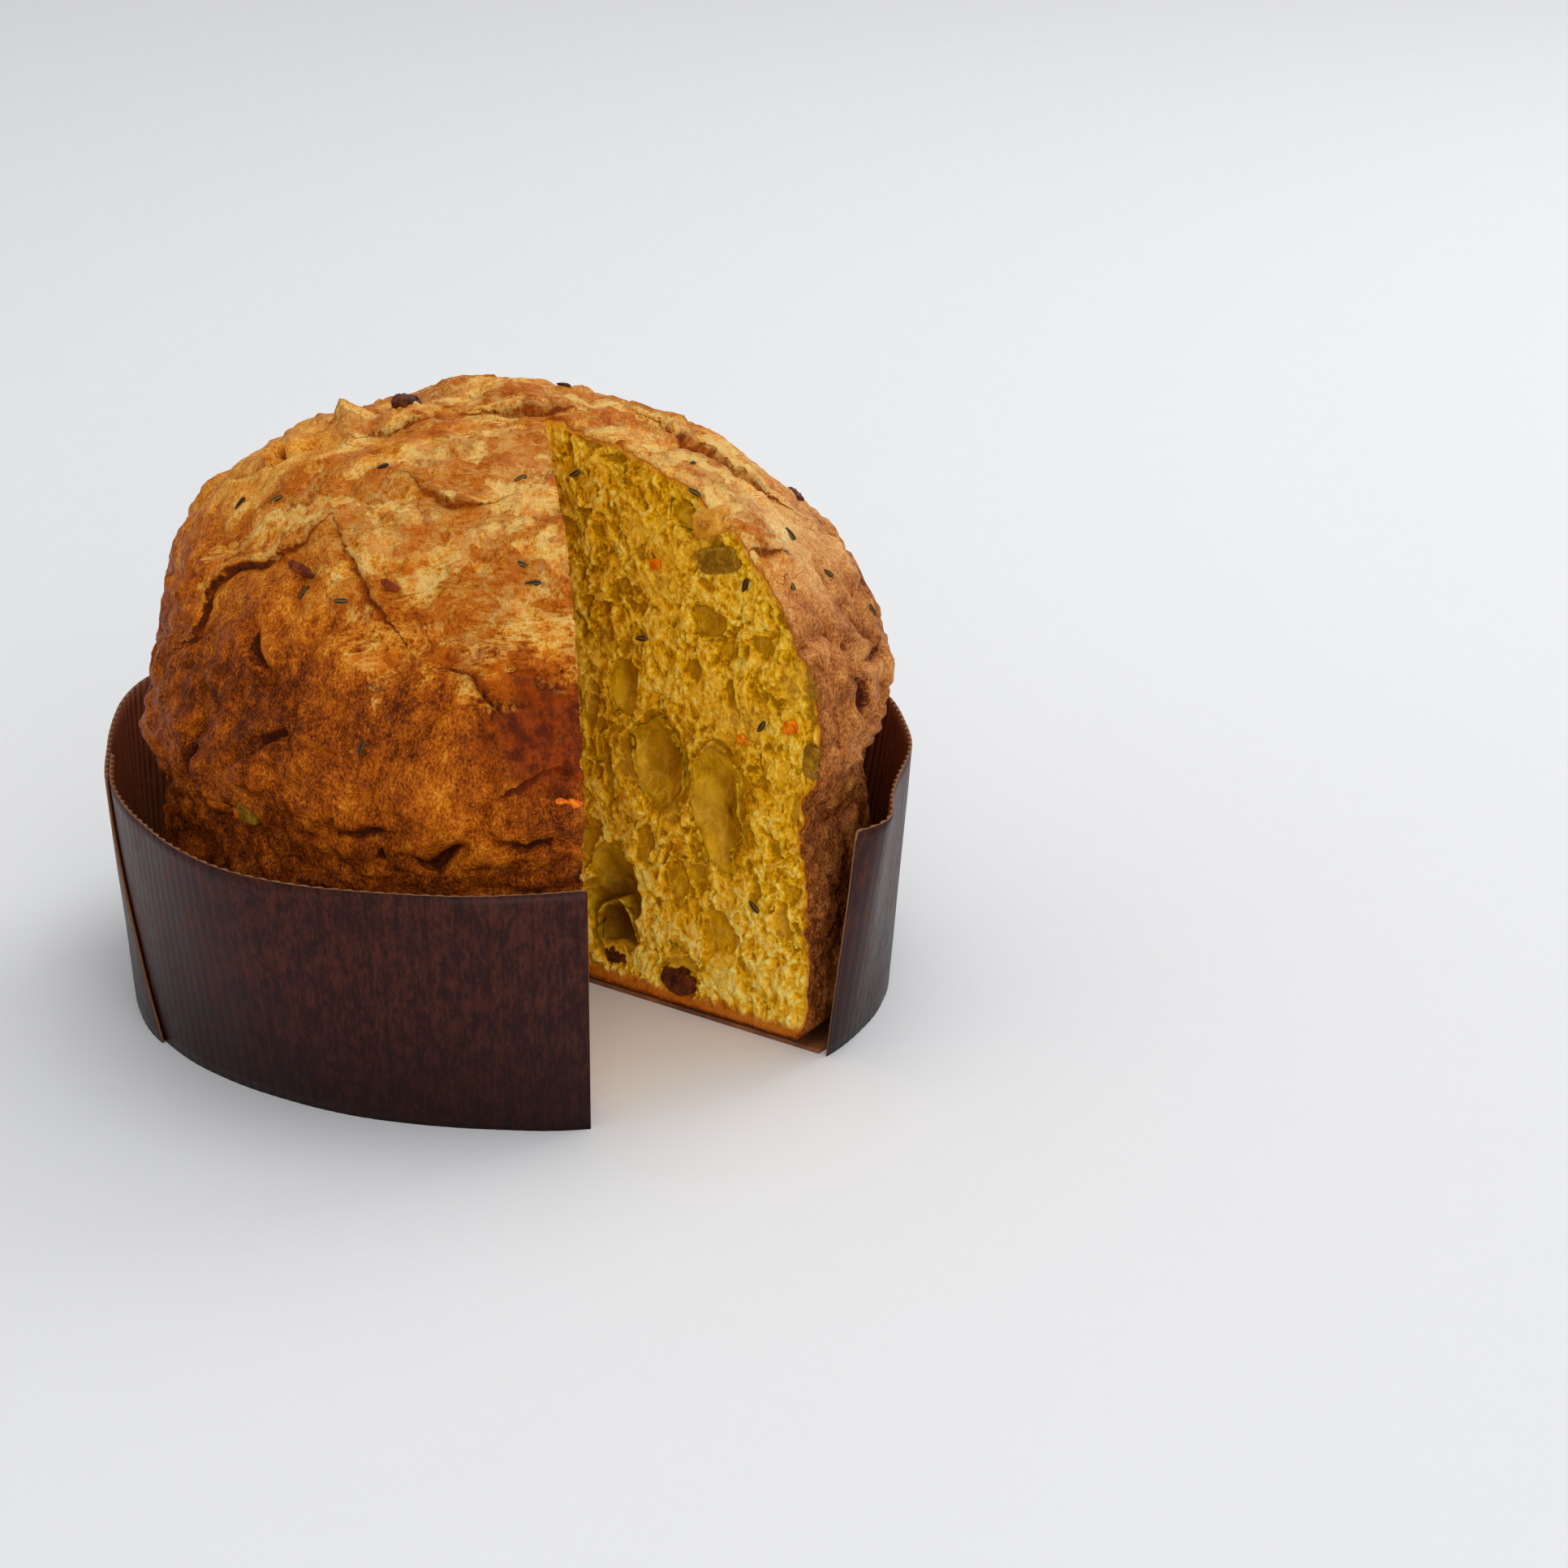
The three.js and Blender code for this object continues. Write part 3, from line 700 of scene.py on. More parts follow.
pit = np.zeros(len(points))
for along, outward in cuts.values():
    at, under = cutPlace(points, along, outward)
    pit = np.where((at > -1) & (under > -1) & (under < 11) & (depth > 0.6), np.clip(under, 0, 11), pit)
# painted shade: a dark patch over the deep hollow low in the right cut
hollowAt = cutPlace(points, *cuts["right"])[0]
hollow = np.exp(-((hollowAt - hollowPlace["along"]) / hollowPlace["wide"]) ** 2
                - ((points[:, 2] - hollowPlace["height"]) / hollowPlace["tall"]) ** 2)
glossy = blob(skin, onSkin(glossPlace[0])[0], glossPlace[1]) * 1.7
glossy += 0.5 * noise(skin, 9, 57) + 0.3 * noise(skin, 3, 58)
loafMasks = {
    "depth": depth,
    "hollow": hollow * smooth(pit, 1.2, 3.5),
    "tone": tone,
    "torn": tornField(skin),
    "flake": flakeField(skin),
    "groove": groove,
    "edge": edge,
    "pit": pit,
    "gloss": smooth(glossy, 0.3, 1.2),
    "tan": smooth(skin[:, 0] + 6 * noise(skin, 16, 56), 52, 84),
    "base": smooth(points[:, 2] + 1.2 * noise(points, 6, 55), 8.5, 2.5),
}
for name, values in loafMasks.items():
    paintMask(loaf, name, values)


def makeBread():
    f = Finish("baked_bread")
    tone, edge, gloss = f.mask("tone"), f.mask("edge"), f.mask("gloss")
    depth, pit, base = f.mask("depth"), f.mask("pit"), f.mask("base")
    broad, middle = f.grain(15, 3) - 0.5, f.grain(5, 3) - 0.5
    ragged = f.grain(1.7, 4, rough=0.7) - 0.5
    flecks = f.grain(0.6, 2, stretch=(1, 1, 0.6), rough=0.7) - 0.5
    stretched = f.grain(2.0, 4, stretch=(1, 1, 0.35), rough=0.6) - 0.5  # lines up and down the skin
    lengthwise = f.grain(1.1, 4, stretch=(0.32, 1, 1), rough=0.65)
    crosswise = f.grain(1.1, 4, stretch=(1, 0.32, 0.8), rough=0.65)
    streaks = f.mix(f.smoothStep(f.grain(18, 2), 0.42, 0.58), full((1, 1, 1)), full((0, 0, 0)))
    streaks = streaks * (lengthwise - crosswise) + crosswise - 0.5
    torn = f.smoothStep(f.mask("torn") + middle * 0.6 + ragged * 0.6, 0.40, 0.62)
    flake = f.smoothStep(f.mask("flake") + ragged * 0.5, -0.05, 0.07)
    bare = torn * (1 - flake)
    # painted shade along the creases of the skin, taken off the mottling below
    groove = f.smoothStep(f.mask("groove") + ragged * 1.4, 1.4, 0.1)
    shadow = f.smoothStep(edge + ragged * 1.8 + middle, -2.2, -0.4) * f.smoothStep(edge + ragged, 0.9, 0.2)
    # lip: the raised side of a torn edge; the mottling below gets a painted highlight there
    lip = f.smoothStep(edge + ragged * 1.8, 2.6, 1.0) * f.smoothStep(edge, 0.2, 0.9)
    mottled = (tone + broad * (0.7 + torn * 0.2) + middle * (0.6 + torn * 0.2) + streaks * torn * 1.5
               + stretched * (1 - torn) * (0.5 - gloss * 0.2) + ragged * (0.2 + torn * 0.55)
               + flecks * (0.95 - torn * 0.2) * (1 - gloss * 0.6)
               - groove * 0.55 - shadow * 0.40 + lip * 0.12 + bare * 0.15 - 0.035)
    crustColour = f.ramp(mottled, [
        (0.0, (70, 24, 2)), (0.18, (116, 50, 4)), (0.34, (166, 78, 7)),
        (0.50, (202, 108, 16)), (0.64, (226, 142, 36)), (0.80, (242, 172, 68)),
        (1.0, (252, 206, 118))])
    tanColour = f.ramp(mottled, [
        (0.0, (72, 28, 10)), (0.22, (138, 74, 30)), (0.42, (188, 118, 58)),
        (0.60, (218, 152, 86)), (0.80, (236, 182, 116)), (1.0, (248, 214, 156))])
    crustColour = f.mix(f.mask("tan") * 0.8, crustColour, tanColour)
    amber = f.smoothStep(f.grain(8, 3) + ragged * 0.4, 0.50, 0.62) * torn
    crustColour = f.over(crustColour, amber * 0.55, (224, 112, 8))
    straw = f.smoothStep(f.grain(9, 3, stretch=(0.6, 1, 1)) + streaks * 0.9, 0.52, 0.64) * bare
    crustColour = f.over(crustColour, straw * 0.4, (244, 188, 100))
    crustColour = f.over(crustColour, torn * flake * 0.42, (182, 82, 14))
    crustColour = f.over(crustColour, shadow * 0.4 + lip * torn * 0.3, (104, 40, 6))
    burnt = f.smoothStep(f.grain(9, 4, stretch=(1, 1, 0.7), rough=0.6) + ragged * 0.3, 0.56, 0.64)
    crustColour = f.over(crustColour, burnt * (0.14 + torn * 0.2), (156, 66, 8))
    mahogany = f.between(f.smoothStep(middle + stretched * 0.8 + flecks * 0.3, -0.16, 0.16),
                         (98, 28, 0), (154, 58, 0))
    crustColour = f.mix(gloss * (0.62 + middle * 0.8), crustColour, mahogany)
    crustColour = f.over(crustColour, base * 0.5, (150, 78, 24))
    skinHeight = (middle * 1.3 + flecks * (0.5 - gloss * 0.3) + streaks * torn * 1.3
                  + stretched * (1 - torn) * (0.7 - gloss * 0.4) + ragged * (1.1 - gloss * 0.7))
    crustNormal = f.bump(skinHeight, 1.0, 1.0)
    crust = f.shade(Base_Color=crustColour, Roughness=0.42 - gloss * 0.14 + flecks * 0.4,
                    Normal=crustNormal, Specular_IOR_Level=0.07)

    fine = f.grain(1.2, 4, rough=0.75) - 0.5
    spongeSpot = f.place((1, 1, 0.62))
    drift = f.node("ShaderNodeTexNoise", inputs={"Vector": spongeSpot, "Scale": metre / 2.4, "Detail": 3.0},
                   out="Color")
    drift = f.node("ShaderNodeVectorMath", {"operation": "MULTIPLY_ADD"},
                   {0: drift, 1: (0.0038, 0.0038, 0.0038), 2: spongeSpot})

    def cellWalls(size, seed):  # how far the crumb is from the walls of its bubbles, in shares of a bubble
        moved = f.node("ShaderNodeVectorMath", {"operation": "ADD"}, {0: drift, 1: (seed, seed, seed)})
        return f.node("ShaderNodeTexVoronoi", {"feature": "DISTANCE_TO_EDGE"},
                      {"Vector": moved, "Scale": metre / size})

    wide, narrow = cellWalls(3.0, 0.1), cellWalls(1.5, 0.3)
    patchy = f.smoothStep(f.grain(4, 3), 0.35, 0.6)
    smoothWall = f.smoothStep(pit, 1.6, 3.0)  # big holes have a plain, silky wall
    sponge = (wide * (0.3 + patchy * 1.3) + narrow * 0.7 + fine * 1.2) * (1 - smoothWall * 0.75)
    strand = f.smoothStep(wide + fine * 0.1, 0.10, 0.0) * patchy
    # sunk: painted shade, the crumb darker inside each bubble cell and the deeper it lies behind the cut,
    # paler on the walls
    sunk = sponge + f.smoothStep(pit, 0.2, 2.4) * 0.72 - strand * 0.16 + broad * 0.5
    upwards = f.node("ShaderNodeSeparateXYZ", inputs={"Vector": f.place()}, out="Z")
    # painted shade: the crumb darker towards the top of the cut
    sunk = sunk + f.smoothStep(upwards, 0.02, 0.06) * 0.20 - 0.03
    crumbColour = f.ramp(sunk, [
        (0.0, (255, 224, 126)), (0.18, (253, 210, 86)), (0.36, (246, 190, 46)),
        (0.55, (234, 172, 14)), (0.78, (204, 144, 4)), (1.0, (166, 112, 1))])
    silk = f.smoothStep(f.grain(4.5, 3, stretch=(1, 1, 0.4), rough=0.6) + fine * 0.4, 0.36, 0.66)
    silk = f.between(silk, (176, 126, 1), (236, 186, 28))
    threads = f.smoothStep(cellWalls(5.0, 0.7) + fine * 0.06, 0.06, 0.0)
    silk = f.over(silk, threads * 0.4, (250, 208, 92))
    # painted shade: the silky walls of big holes darker the deeper they lie behind the cut
    silk = f.over(silk, f.smoothStep(pit, 2.5, 7.5) * 0.6, (150, 96, 2))
    crumbColour = f.mix(smoothWall * 0.8, crumbColour, silk)
    crumbColour = f.over(crumbColour, f.smoothStep(broad, 0.0, 0.2) * 0.3, (252, 198, 70))
    # painted shade, dark brown, in the deep hollow of the right cut
    crumbColour = f.over(crumbColour, f.mask("hollow") * 0.92, (88, 46, 3))
    rind = f.smoothStep(depth + fine * 2.2, 3.4, 1.2)
    crumbColour = f.over(crumbColour, rind * 0.8, (218, 134, 24))
    crumbColour = f.over(crumbColour, f.smoothStep(depth + fine * 0.8, 1.7, 1.0), (158, 76, 10))
    crumbColour = f.over(crumbColour, f.smoothStep(base + fine * 0.5, 0.3, 0.8) * 0.9, (184, 96, 14))
    spongeHeight = (fine * 0.8 - wide * (0.5 + patchy) * 0.7 - narrow * 0.5) * (1 - smoothWall * 0.7)
    crumb = f.shade(Base_Color=crumbColour, Roughness=0.8, Normal=f.bump(spongeHeight, 0.7, 0.9),
                    Specular_IOR_Level=0.05, Subsurface_Weight=0.5, Subsurface_Radius=(1.0, 0.6, 0.1),
                    Subsurface_Scale=0.0022)
    inside = f.smoothStep(depth + flecks * 0.6, 0.7, 1.4)
    return f.close(f.node("ShaderNodeMixShader", inputs={0: inside, 1: crust, 2: crumb}))


finishPiece(loaf, makeBread(), "loaf")


print("paper case")
paperShape = {
    "footRadius": 101.0, "rimRadius": 107.0, "meanRadius": 104, "height": 65.0, "thickness": 0.7,
    "flutePitch": 3.7, "fluteDepth": 0.42, "middle": 0.72, "rows": 20, "stepsAFlute": 6,
    "lapOut": 1.25, "lapStart": 166.0, "lapEnd": 208.0, "lapSlant": -0.25, "innerEnd": 183.0,
}
# slow waves of the wall: azimuth and spread in degrees, out at the foot, out at the rim, lift of the rim
wallWaves = [
    (-76, 13, 3.6, -1.6, 0), (-126, 17, -1.2, 4.4, 0), (152, 22, 0, 7.5, 2.4), (180, 12, 0, -2, 0),
    (24, 9, 0, 2.6, 0), (-11, 8, 0, -1.8, 0), (-29, 7, 0, 6, 0), (90, 16, 0, 1.8, 0),
]


def wallPlace(azimuth, rise, out):  # azimuth in degrees, rise 0 to 1, out from the wall's own outside
    wave = np.zeros_like(azimuth)
    lift = np.zeros_like(azimuth)
    for middle, spread, foot, rim, up in wallWaves:
        near = np.exp(-(((azimuth - middle + 180) % 360 - 180) / spread) ** 2)
        wave += near * (foot + (rim - foot) * rise)
        lift += near * up * rise
    foot, rim = paperShape["footRadius"], paperShape["rimRadius"]
    radius = foot + (rim - foot) * rise + wave + out
    angle = np.radians(azimuth)
    height = rise * paperShape["height"] + lift
    return np.stack([radius * np.cos(angle), radius * np.sin(angle), height], axis=1)


def cutAzimuth(direction, rise):  # where a cut plane meets the wall
    angle = math.radians(direction)
    x, y = wedge["apex"]
    dot = x * math.cos(angle) + y * math.sin(angle)
    azimuth = np.full(len(rise), direction)
    for _ in range(4):
        place = wallPlace(azimuth, rise, 0)
        radius = np.hypot(place[:, 0], place[:, 1])
        away = -dot + np.sqrt(dot ** 2 - (x * x + y * y) + radius ** 2)
        azimuth = np.degrees(np.arctan2(y + away * math.sin(angle), x + away * math.cos(angle)))
    return azimuth


def makeStrip(name, startAt, endAt, outAt):  # a band of corrugated paper, smooth outside and fluted inside
    shape = paperShape
    middleRise = np.array([0.5])
    sweep = float(endAt(middleRise)[0] - startAt(middleRise)[0])
    flutes = math.radians(sweep) * shape["meanRadius"] / shape["flutePitch"]
    bpy.ops.object.select_all(action="DESELECT")
    bpy.ops.mesh.primitive_grid_add(x_subdivisions=int(flutes * shape["stepsAFlute"]),
                                    y_subdivisions=shape["rows"], size=2, location=(0, 0, 0))
    strip = bpy.context.object
    strip.name = strip.data.name = name
    flat = getPoints(strip) / metre
    across, rise = (flat[:, 0] + 1) / 2, (flat[:, 1] + 1) / 2
    azimuth = startAt(rise) + across * (endAt(rise) - startAt(rise))
    ripple = np.cos(across * flutes * 2 * np.pi)
    crinkle = 0.25 * noise(np.stack([azimuth, rise * 30, rise * 0], axis=1), (9, 14, 9), 61)
    outer = wallPlace(azimuth, rise, outAt(azimuth) + 0.035 * ripple + crinkle)
    inner = wallPlace(azimuth, rise,
                      outAt(azimuth) + crinkle - shape["middle"] + shape["fluteDepth"] * ripple)
    setPoints(strip, outer)
    outwards = (getNormals(strip)[:, :2] * outer[:, :2]).sum()
    if outwards < 0:
        editMode(strip)
        bpy.ops.mesh.flip_normals()
        objectMode()
    applyModifier(strip, "SOLIDIFY", thickness=shape["thickness"] / metre, offset=-1)
    setPoints(strip, np.concatenate([outer, inner]))
    ends = np.minimum(across, 1 - across) * math.radians(sweep) * shape["meanRadius"]
    rim = np.minimum((1 - rise) * shape["height"], ends)
    paintMask(strip, "inner", np.repeat([0, 1], len(outer)))
    paintMask(strip, "ripple", np.tile(ripple, 2))
    paintMask(strip, "fromEdge", np.tile(rim, 2))
    return strip


def makePaper():
    f = Finish("coated_paper")
    inner, ripple, fromEdge = f.mask("inner"), f.mask("ripple"), f.mask("fromEdge")
    blotches = f.grain(4, 4, stretch=(1, 1, 0.6), rough=0.7)
    fibres = f.grain(0.9, 3, stretch=(1, 1, 0.3), rough=0.7)
    worn = f.smoothStep(blotches * 0.6 + fibres * 0.6, 0.50, 0.74)
    outside = f.between(worn, (42, 15, 13), (74, 33, 22))
    # painted shade in the flute valleys of the outside
    outside = f.over(outside, f.smoothStep(ripple, -0.4, -1.0) * 0.35, (28, 9, 8))
    # inside: paler on the ribs, painted shade in the flute valleys
    inside = f.between(f.smoothStep(ripple, -0.2, 0.9), (122, 62, 36), (74, 30, 18))
    inside = f.over(inside, worn * 0.4, (140, 82, 50))
    colour = f.mix(inner, outside, inside)
    bare = f.smoothStep(fromEdge + (fibres - 0.5) * 0.4, 0.10, 0.0)
    colour = f.over(colour, bare * 0.8, (150, 106, 70))
    # the outside of the wall darker towards its foot
    spot = f.node("ShaderNodeTexCoord", out="Object")
    height = f.node("ShaderNodeSeparateXYZ", inputs={"Vector": spot}, out="Z")
    colour = f.over(colour, f.smoothStep(height, 0.045, 0.0) * (1 - inner) * 0.7, (24, 8, 7))
    rough = 0.36 + worn * 0.12 + inner * 0.25 + bare * 0.3
    surface = f.shade(Base_Color=colour, Roughness=rough, Normal=f.bump(fibres + blotches * 0.6, 0.12, 0.6),
                      Specular_IOR_Level=0.14)
    return f.close(surface)


def lapOut(azimuth):
    return paperShape["lapOut"] * smooth(azimuth, paperShape["lapStart"], paperShape["lapStart"] + 12)


paper = makePaper()
frontStrip = makeStrip(
    "paper_front", lambda rise: paperShape["innerEnd"] + 0 * rise,
    lambda rise: cutAzimuth(wedge["left"], rise) + 360, lambda azimuth: 0 * azimuth)
backStrip = makeStrip(
    "paper_back", lambda rise: cutAzimuth(wedge["right"], rise),
    lambda rise: paperShape["lapEnd"] + paperShape["lapSlant"] * paperShape["height"] * rise, lapOut)
for strip in (frontStrip, backStrip):
    finishPiece(strip, paper, "paper_wall")


def makeBasePaper():
    f = Finish("base_paper")
    fibres = f.grain(1.2, 3, rough=0.7)
    blotches = f.grain(11, 3)
    colour = f.between(f.smoothStep(blotches + fibres * 0.4, 0.5, 0.9), (92, 50, 24), (140, 84, 40))
    return f.close(f.shade(Base_Color=colour, Roughness=0.6 + (fibres - 0.5) * 0.2,
                           Normal=f.bump(fibres, 0.15, 0.6)))


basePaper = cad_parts["paper_base"]
basePaper.data.materials.clear()
basePaper.data.materials.append(makeBasePaper())


print("seeds")
seedShape = {"length": 2.0, "width": 0.74, "ribs": 5, "ribHeight": 0.09, "flatness": 0.86}


def makeSeedMaterial():
    f = Finish("seed_husk")
    rib, toast = f.mask("rib"), f.mask("toast")
    grain = f.grain(0.7, 3)
    raised = f.smoothStep(rib + (grain - 0.5) * 1.2, -0.4, 1.0)
    green = f.between(raised, (66, 50, 20), (140, 114, 58))
    burnt = f.between(raised, (34, 18, 9), (84, 54, 28))
    colour = f.mix(toast, green, burnt)
    return f.close(f.shade(Base_Color=colour, Roughness=0.6, Normal=f.bump(grain, 0.05, 0.5),
                           Specular_IOR_Level=0.12))


bpy.ops.object.select_all(action="DESELECT")
bpy.ops.mesh.primitive_uv_sphere_add(segments=30, ring_count=16, radius=0.001, location=(0, 0, 0))
seedModel = bpy.context.object
seedModel.name = "seed_model"
ball = getPoints(seedModel)
around = np.arctan2(ball[:, 1], ball[:, 0])
rib = np.cos(around * seedShape["ribs"])
waist = np.sqrt(np.clip(1 - ball[:, 2] ** 2, 0, 1)) * (1 - 0.25 * ball[:, 2])
spread = seedShape["width"] * waist * (1 + seedShape["ribHeight"] * rib)
seedPoints = np.stack([
    spread * np.cos(around), spread * np.sin(around) * seedShape["flatness"],
    ball[:, 2] * seedShape["length"]], axis=1)
setPoints(seedModel, seedPoints)
paintMask(seedModel, "rib", rib)
seedMaterial = makeSeedMaterial()
toastPicks = np.random.default_rng(81).random(64)
nodeNames = sorted(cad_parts)


def principalFrame(node):  # middle, directions (longest first) and half lengths of a CAD node
    spots = getPoints(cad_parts[node])
    middle = spots.mean(0) * 0.5 + (spots.max(0) + spots.min(0)) / 2 * 0.5
    vectors = np.linalg.eigh(np.cov((spots - middle).T))[1]
    axes = vectors[:, ::-1].T
    half = [np.abs((spots - middle) @ axis).max() for axis in axes]
    if np.linalg.det(axes) < 0:
        axes[2] *= -1
    return middle, axes, half


def reliefAt(middle):  # how far the crust's relief carries a piece that is baked into it
    if cutBeside(middle) is not None:
        return np.zeros(3)
    direction, skin = underSkin(middle[None])[:2]
    return direction[0] * crustLift(skin)[0]


for index, node in enumerate(name for name in nodeNames if name.startswith("seed_")):
    middle, axes, half = principalFrame(node)
    middle = middle + reliefAt(middle)
    seed = bpy.data.objects.new(node.replace("seed_", "fennel_seed_"), seedModel.data.copy())
    bpy.context.scene.collection.objects.link(seed)
    shaped = seedPoints * np.array([1, 1, half[0] / seedShape["length"] * 1.05])
    shaped[:, 0] += 0.12 * (1 - (shaped[:, 2] / 2) ** 2)
    setPoints(seed, middle + shaped[:, [2]] * axes[0] + shaped[:, [0]] * axes[1] + shaped[:, [1]] * axes[2])
    paintMask(seed, "toast", np.full(len(seedPoints), toastPicks[index]))
    finishPiece(seed, seedMaterial, node)
bpy.data.objects.remove(seedModel)


print("fruit")
fruitLooks = {
    # pale and dark colour, roughness, how far light goes in (mm), bumps (mm), slot
    "citron": ((226, 164, 60), (196, 126, 24), 0.3, 1.2, 0.08, "candied_citron"),
    "citronDark": ((170, 124, 44), (128, 84, 20), 0.28, 1.4, 0.08, "candied_citron"),
    "melon": ((176, 128, 34), (122, 84, 16), 0.3, 1.8, 0.16, "candied_melon"),
    "raisin": ((112, 50, 16), (56, 20, 6), 0.38, 0.5, 0.42, "raisin"),
    "peelBaked": ((138, 54, 6), (82, 24, 2), 0.5, 0.1, 0.35, "orange_peel"),
    "peel": ((246, 150, 20), (214, 88, 2), 0.4, 0.9, 0.5, "orange_peel"),
}


def makeFruit(kind):
    pale, dark, rough, glow = fruitLooks[kind][:4]
    f = Finish(f"{kind}_flesh")
    broad, fine = f.grain(3.2, 3), f.grain(0.8, 3, rough=0.65)
    colour = f.between(f.smoothStep(broad + (fine - 0.5) * 0.5, 0.32, 0.72), dark, pale)
    return f.close(f.shade(
        Base_Color=colour, Roughness=rough + (fine - 0.5) * 0.25, Normal=f.bump(fine + broad, 0.2, 0.6),
        Subsurface_Weight=0.3, Subsurface_Radius=(1.0, 0.7, 0.3), Subsurface_Scale=glow / metre,
        Specular_IOR_Level=0.12, Coat_Weight=0.04, Coat_Roughness=0.2))


fruitMaterials = {kind: makeFruit(kind) for kind in fruitLooks}
fruitKinds = {  # how a node's name starts, and its kind of fruit
    "candied_citron_high": "citronDark", "candied_citron": "citron", "candied_melon": "melon",
    "raisin": "raisin", "orange_strip_1": "peelBaked", "orange_strip_2": "peelBaked", "orange": "peel",
}
fruitCorners = {  # higher is boxier
    "citron": 7, "citronDark": 3, "melon": 4, "raisin": 2.2, "peelBaked": 2.2, "peel": 2.4,
}
for index, node in enumerate(nodeNames):
    kind = next((kind for start, kind in fruitKinds.items() if node.startswith(start)), None)
    if kind is None:
        continue
    bumps, slotName = fruitLooks[kind][4:]
    fruit = copyOfNode(node, node + "_piece")
    voxel = 0.3 if "peel" in kind else 0.36
    applyModifier(fruit, "REMESH", mode="VOXEL", voxel_size=voxel / metre, adaptivity=0)
    applyModifier(fruit, "SMOOTH", factor=0.5, iterations=3)
    middle, axes, half = principalFrame(node)
    spots = (getPoints(fruit) - middle) @ axes.T / np.array(half)
    corners = fruitCorners[kind]
    boxed = (np.abs(spots) ** corners).sum(axis=1) ** (1 / corners)
    roundness = np.linalg.norm(spots, axis=1)
    spots *= (0.94 * roundness / boxed)[:, None]
    setPoints(fruit, middle + (spots * np.array(half)) @ axes)
    spots, normals = getPoints(fruit), getNormals(fruit)
    swell = 0.3 + bumps * (noise(spots, 2.6, 70 + index) + 0.5 * noise(spots, 1.1, 90 + index))
    if kind == "raisin":
        swell -= 0.5 * bumps * np.abs(noise(spots, (2.2, 1.4, 2.2), 110 + index)) * 2
    spots = spots + normals * swell[:, None] + reliefAt(middle)
    if kind == "peelBaked":
        spots += 0.8 * coreDirection(middle[None])[0]
    outward = cutBeside(middle)
    if outward is not None and "strip" not in node:
        proud = (spots - apex) @ outward
        level = 0.1 + 0.2 * noise(spots, 2.5, 130 + index)
        spots -= np.outer(np.clip(proud - level, 0, None) * 0.94, outward)  # cut off level with the crumb
        direction, skin, depth = underSkin(spots)
        over = np.clip(0.8 - depth - crustLift(skin), 0, None)
        spots -= direction * over[:, None] * 0.95
    setPoints(fruit, spots)
    finishPiece(fruit, fruitMaterials[kind], node)


print("stage")
stageSetup = {
    "floorHalf": 6.0, "wallAt": 3.0, "wallHeight": 2.2, "sweepRadius": 0.9,
    "floorColour": (0.815, 0.815, 0.82),
    "world": 0.60, "worldColour": (0.96, 0.975, 1.0),
}
panels = {  # lights as wide as a window: metres and watts
    "panel_above": {"place": (0.25, 0.25, 1.5), "target": (0.03, 0, 0.05), "width": 1.3, "depth": 1.1,
                    "power": 5.6},
    "panel_back": {"place": (0.9, 1.0, 1.1), "target": (0, 0, 0.1), "width": 0.9, "depth": 0.9,
                   "power": 7.0},
    "panel_front": {"place": (0.45, -2.0, 0.9), "target": (0.03, 0, 0.06), "width": 1.6, "depth": 1.2,
                    "power": 16.0},
}


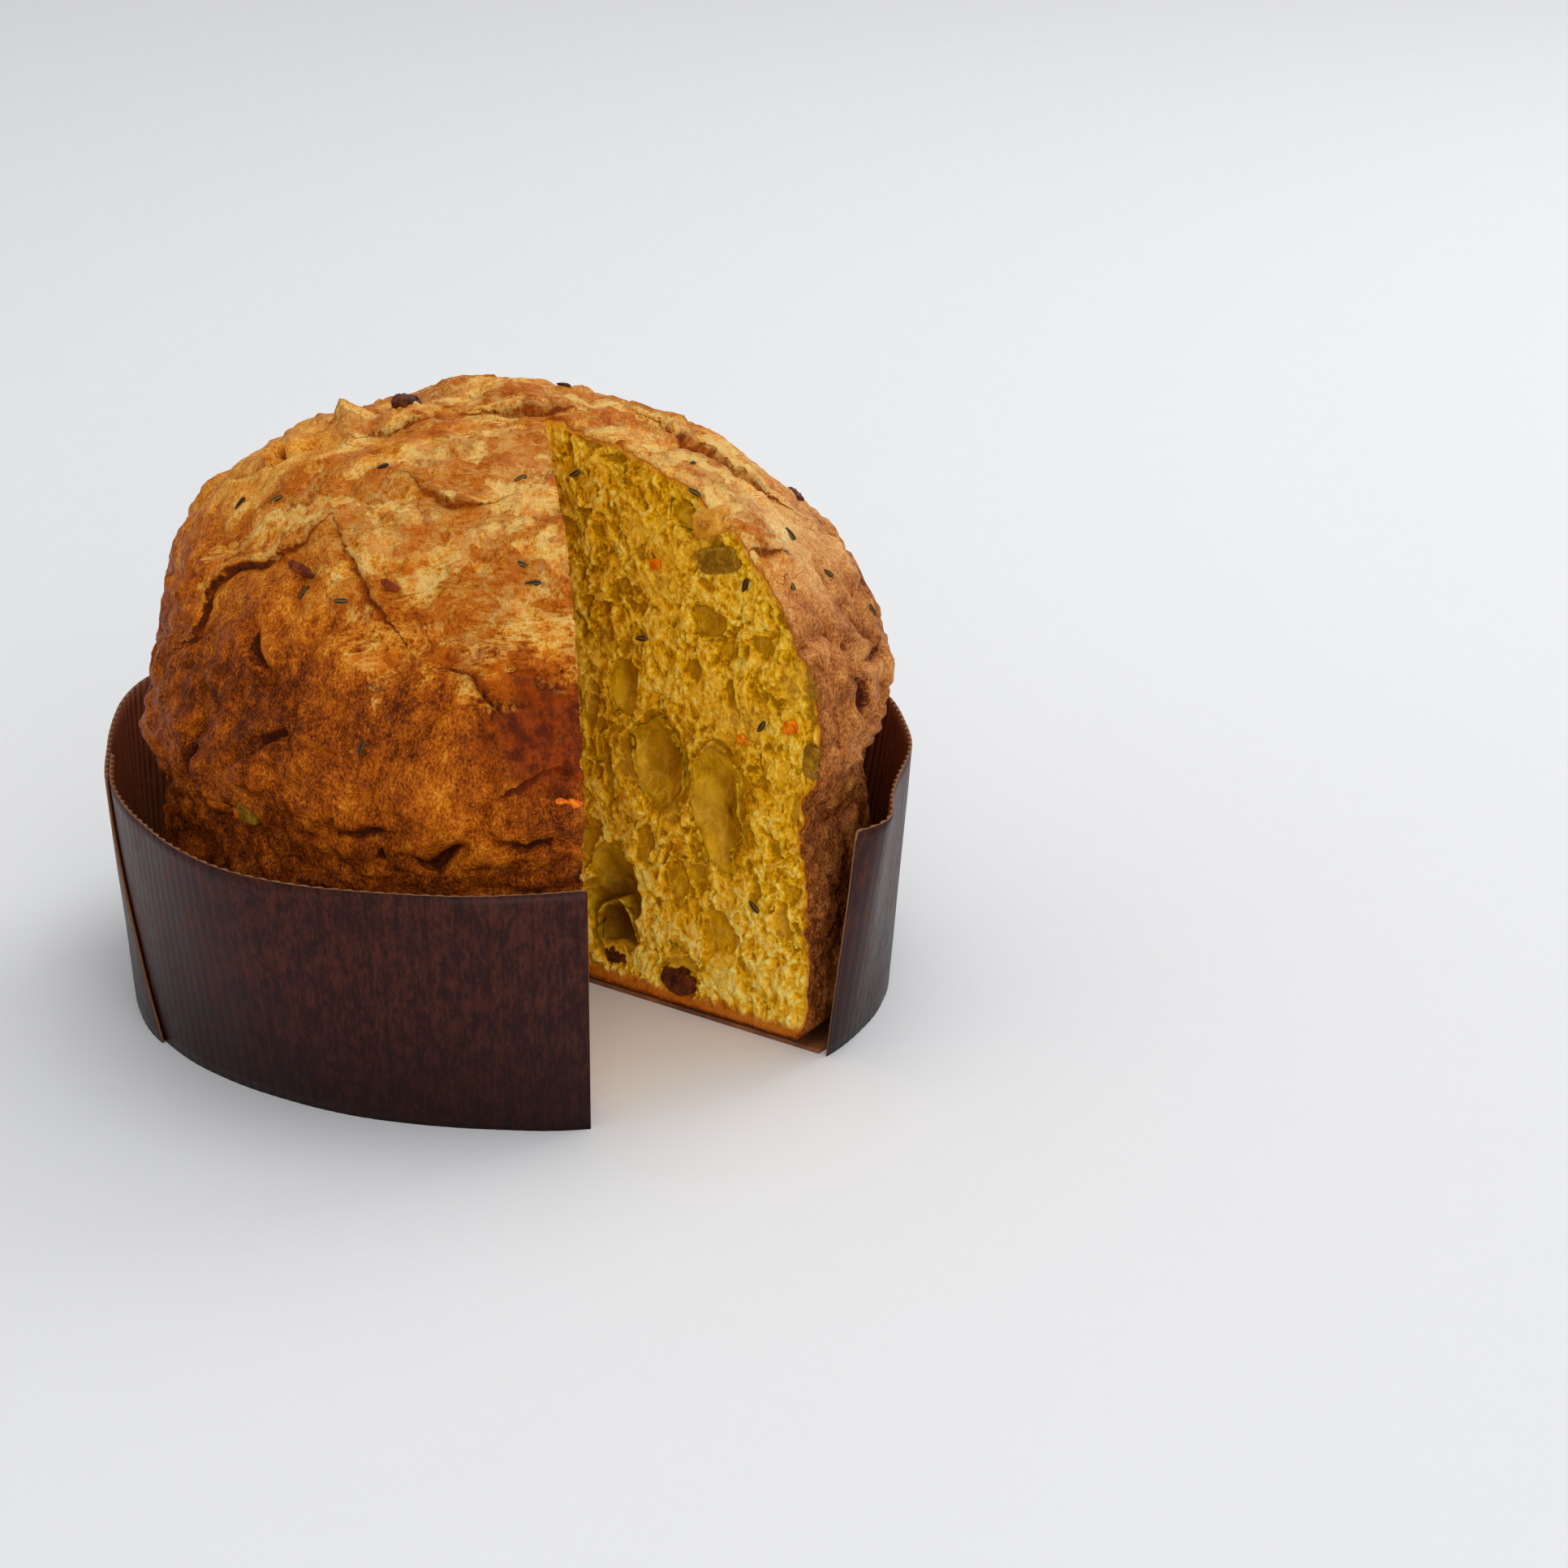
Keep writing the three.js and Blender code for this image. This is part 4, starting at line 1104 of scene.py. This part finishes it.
def makeFloor():
    half, radius, wallAt = stageSetup["floorHalf"], stageSetup["sweepRadius"], stageSetup["wallAt"]
    bpy.ops.object.select_all(action="DESELECT")
    bpy.ops.mesh.primitive_plane_add(size=half * 2, location=(0, wallAt - half, 0))
    floor = bpy.context.object
    floor.name = "floor_sweep"
    bpy.ops.object.transform_apply(location=True, rotation=True, scale=True)
    mesh = floor.data
    for edge in mesh.edges:
        edge.select = all(mesh.vertices[v].co.y > wallAt - 0.1 for v in edge.vertices)
    for vertex in mesh.vertices:
        vertex.select = vertex.co.y > wallAt - 0.1
    for face in mesh.polygons:
        face.select = False
    bpy.ops.object.mode_set(mode="EDIT")
    bpy.ops.mesh.select_mode(type="EDGE")
    bpy.ops.mesh.extrude_region_move(TRANSFORM_OT_translate={"value": (0, 0, stageSetup["wallHeight"])})
    objectMode()
    applyModifier(floor, "BEVEL", width=radius, segments=24, limit_method="ANGLE")
    f = Finish("white_board")
    speck = f.node("ShaderNodeTexNoise", inputs={"Vector": f.place(), "Scale": 60.0, "Detail": 3.0})
    pale = stageSetup["floorColour"]
    colour = f.mix(speck, full(tuple(c * 0.985 for c in pale)), full(pale))
    floor.data.materials.append(f.close(f.shade(Base_Color=colour, Roughness=0.7, Specular_IOR_Level=0.2)))


def addPanel(name, place, target, width, depth, power):
    light = bpy.data.lights.new(name, "AREA")
    light.shape = "RECTANGLE"
    light.size, light.size_y = width, depth
    light.energy = power
    lamp = bpy.data.objects.new(name, light)
    lamp.location = place
    lamp.rotation_euler = (Vector(target) - Vector(place)).to_track_quat("-Z", "Y").to_euler()
    bpy.context.scene.collection.objects.link(lamp)


makeFloor()
for name, panel in panels.items():
    addPanel(name, **panel)
world = bpy.data.worlds.new("soft_room")
bpy.context.scene.world = world
world.use_nodes = True
world.node_tree.nodes["Background"].inputs["Color"].default_value = full(stageSetup["worldColour"])
world.node_tree.nodes["Background"].inputs["Strength"].default_value = stageSetup["world"]
bpy.context.scene.view_settings.view_transform = "Standard"

cameraSetup = {
    "elevation": 20.58, "distance": 1300.0, "target": (72.6, 0.0, 54.5), "lens": 111.75, "sensor": 36,
    "clip": (0.05, 50),
}
lens = bpy.data.cameras.new("camera")
camera = bpy.data.objects.new("camera", lens)
lens.sensor_width = cameraSetup["sensor"]
lens.lens = cameraSetup["lens"]
tilt = math.radians(cameraSetup["elevation"])
target = Vector(cameraSetup["target"])
back = Vector((0, -math.cos(tilt), math.sin(tilt)))
camera.location = (target + back * cameraSetup["distance"]) / metre
camera.rotation_euler = (-back).to_track_quat("-Z", "Y").to_euler()
lens.clip_start, lens.clip_end = cameraSetup["clip"]
bpy.context.scene.collection.objects.link(camera)
bpy.context.scene.camera = camera
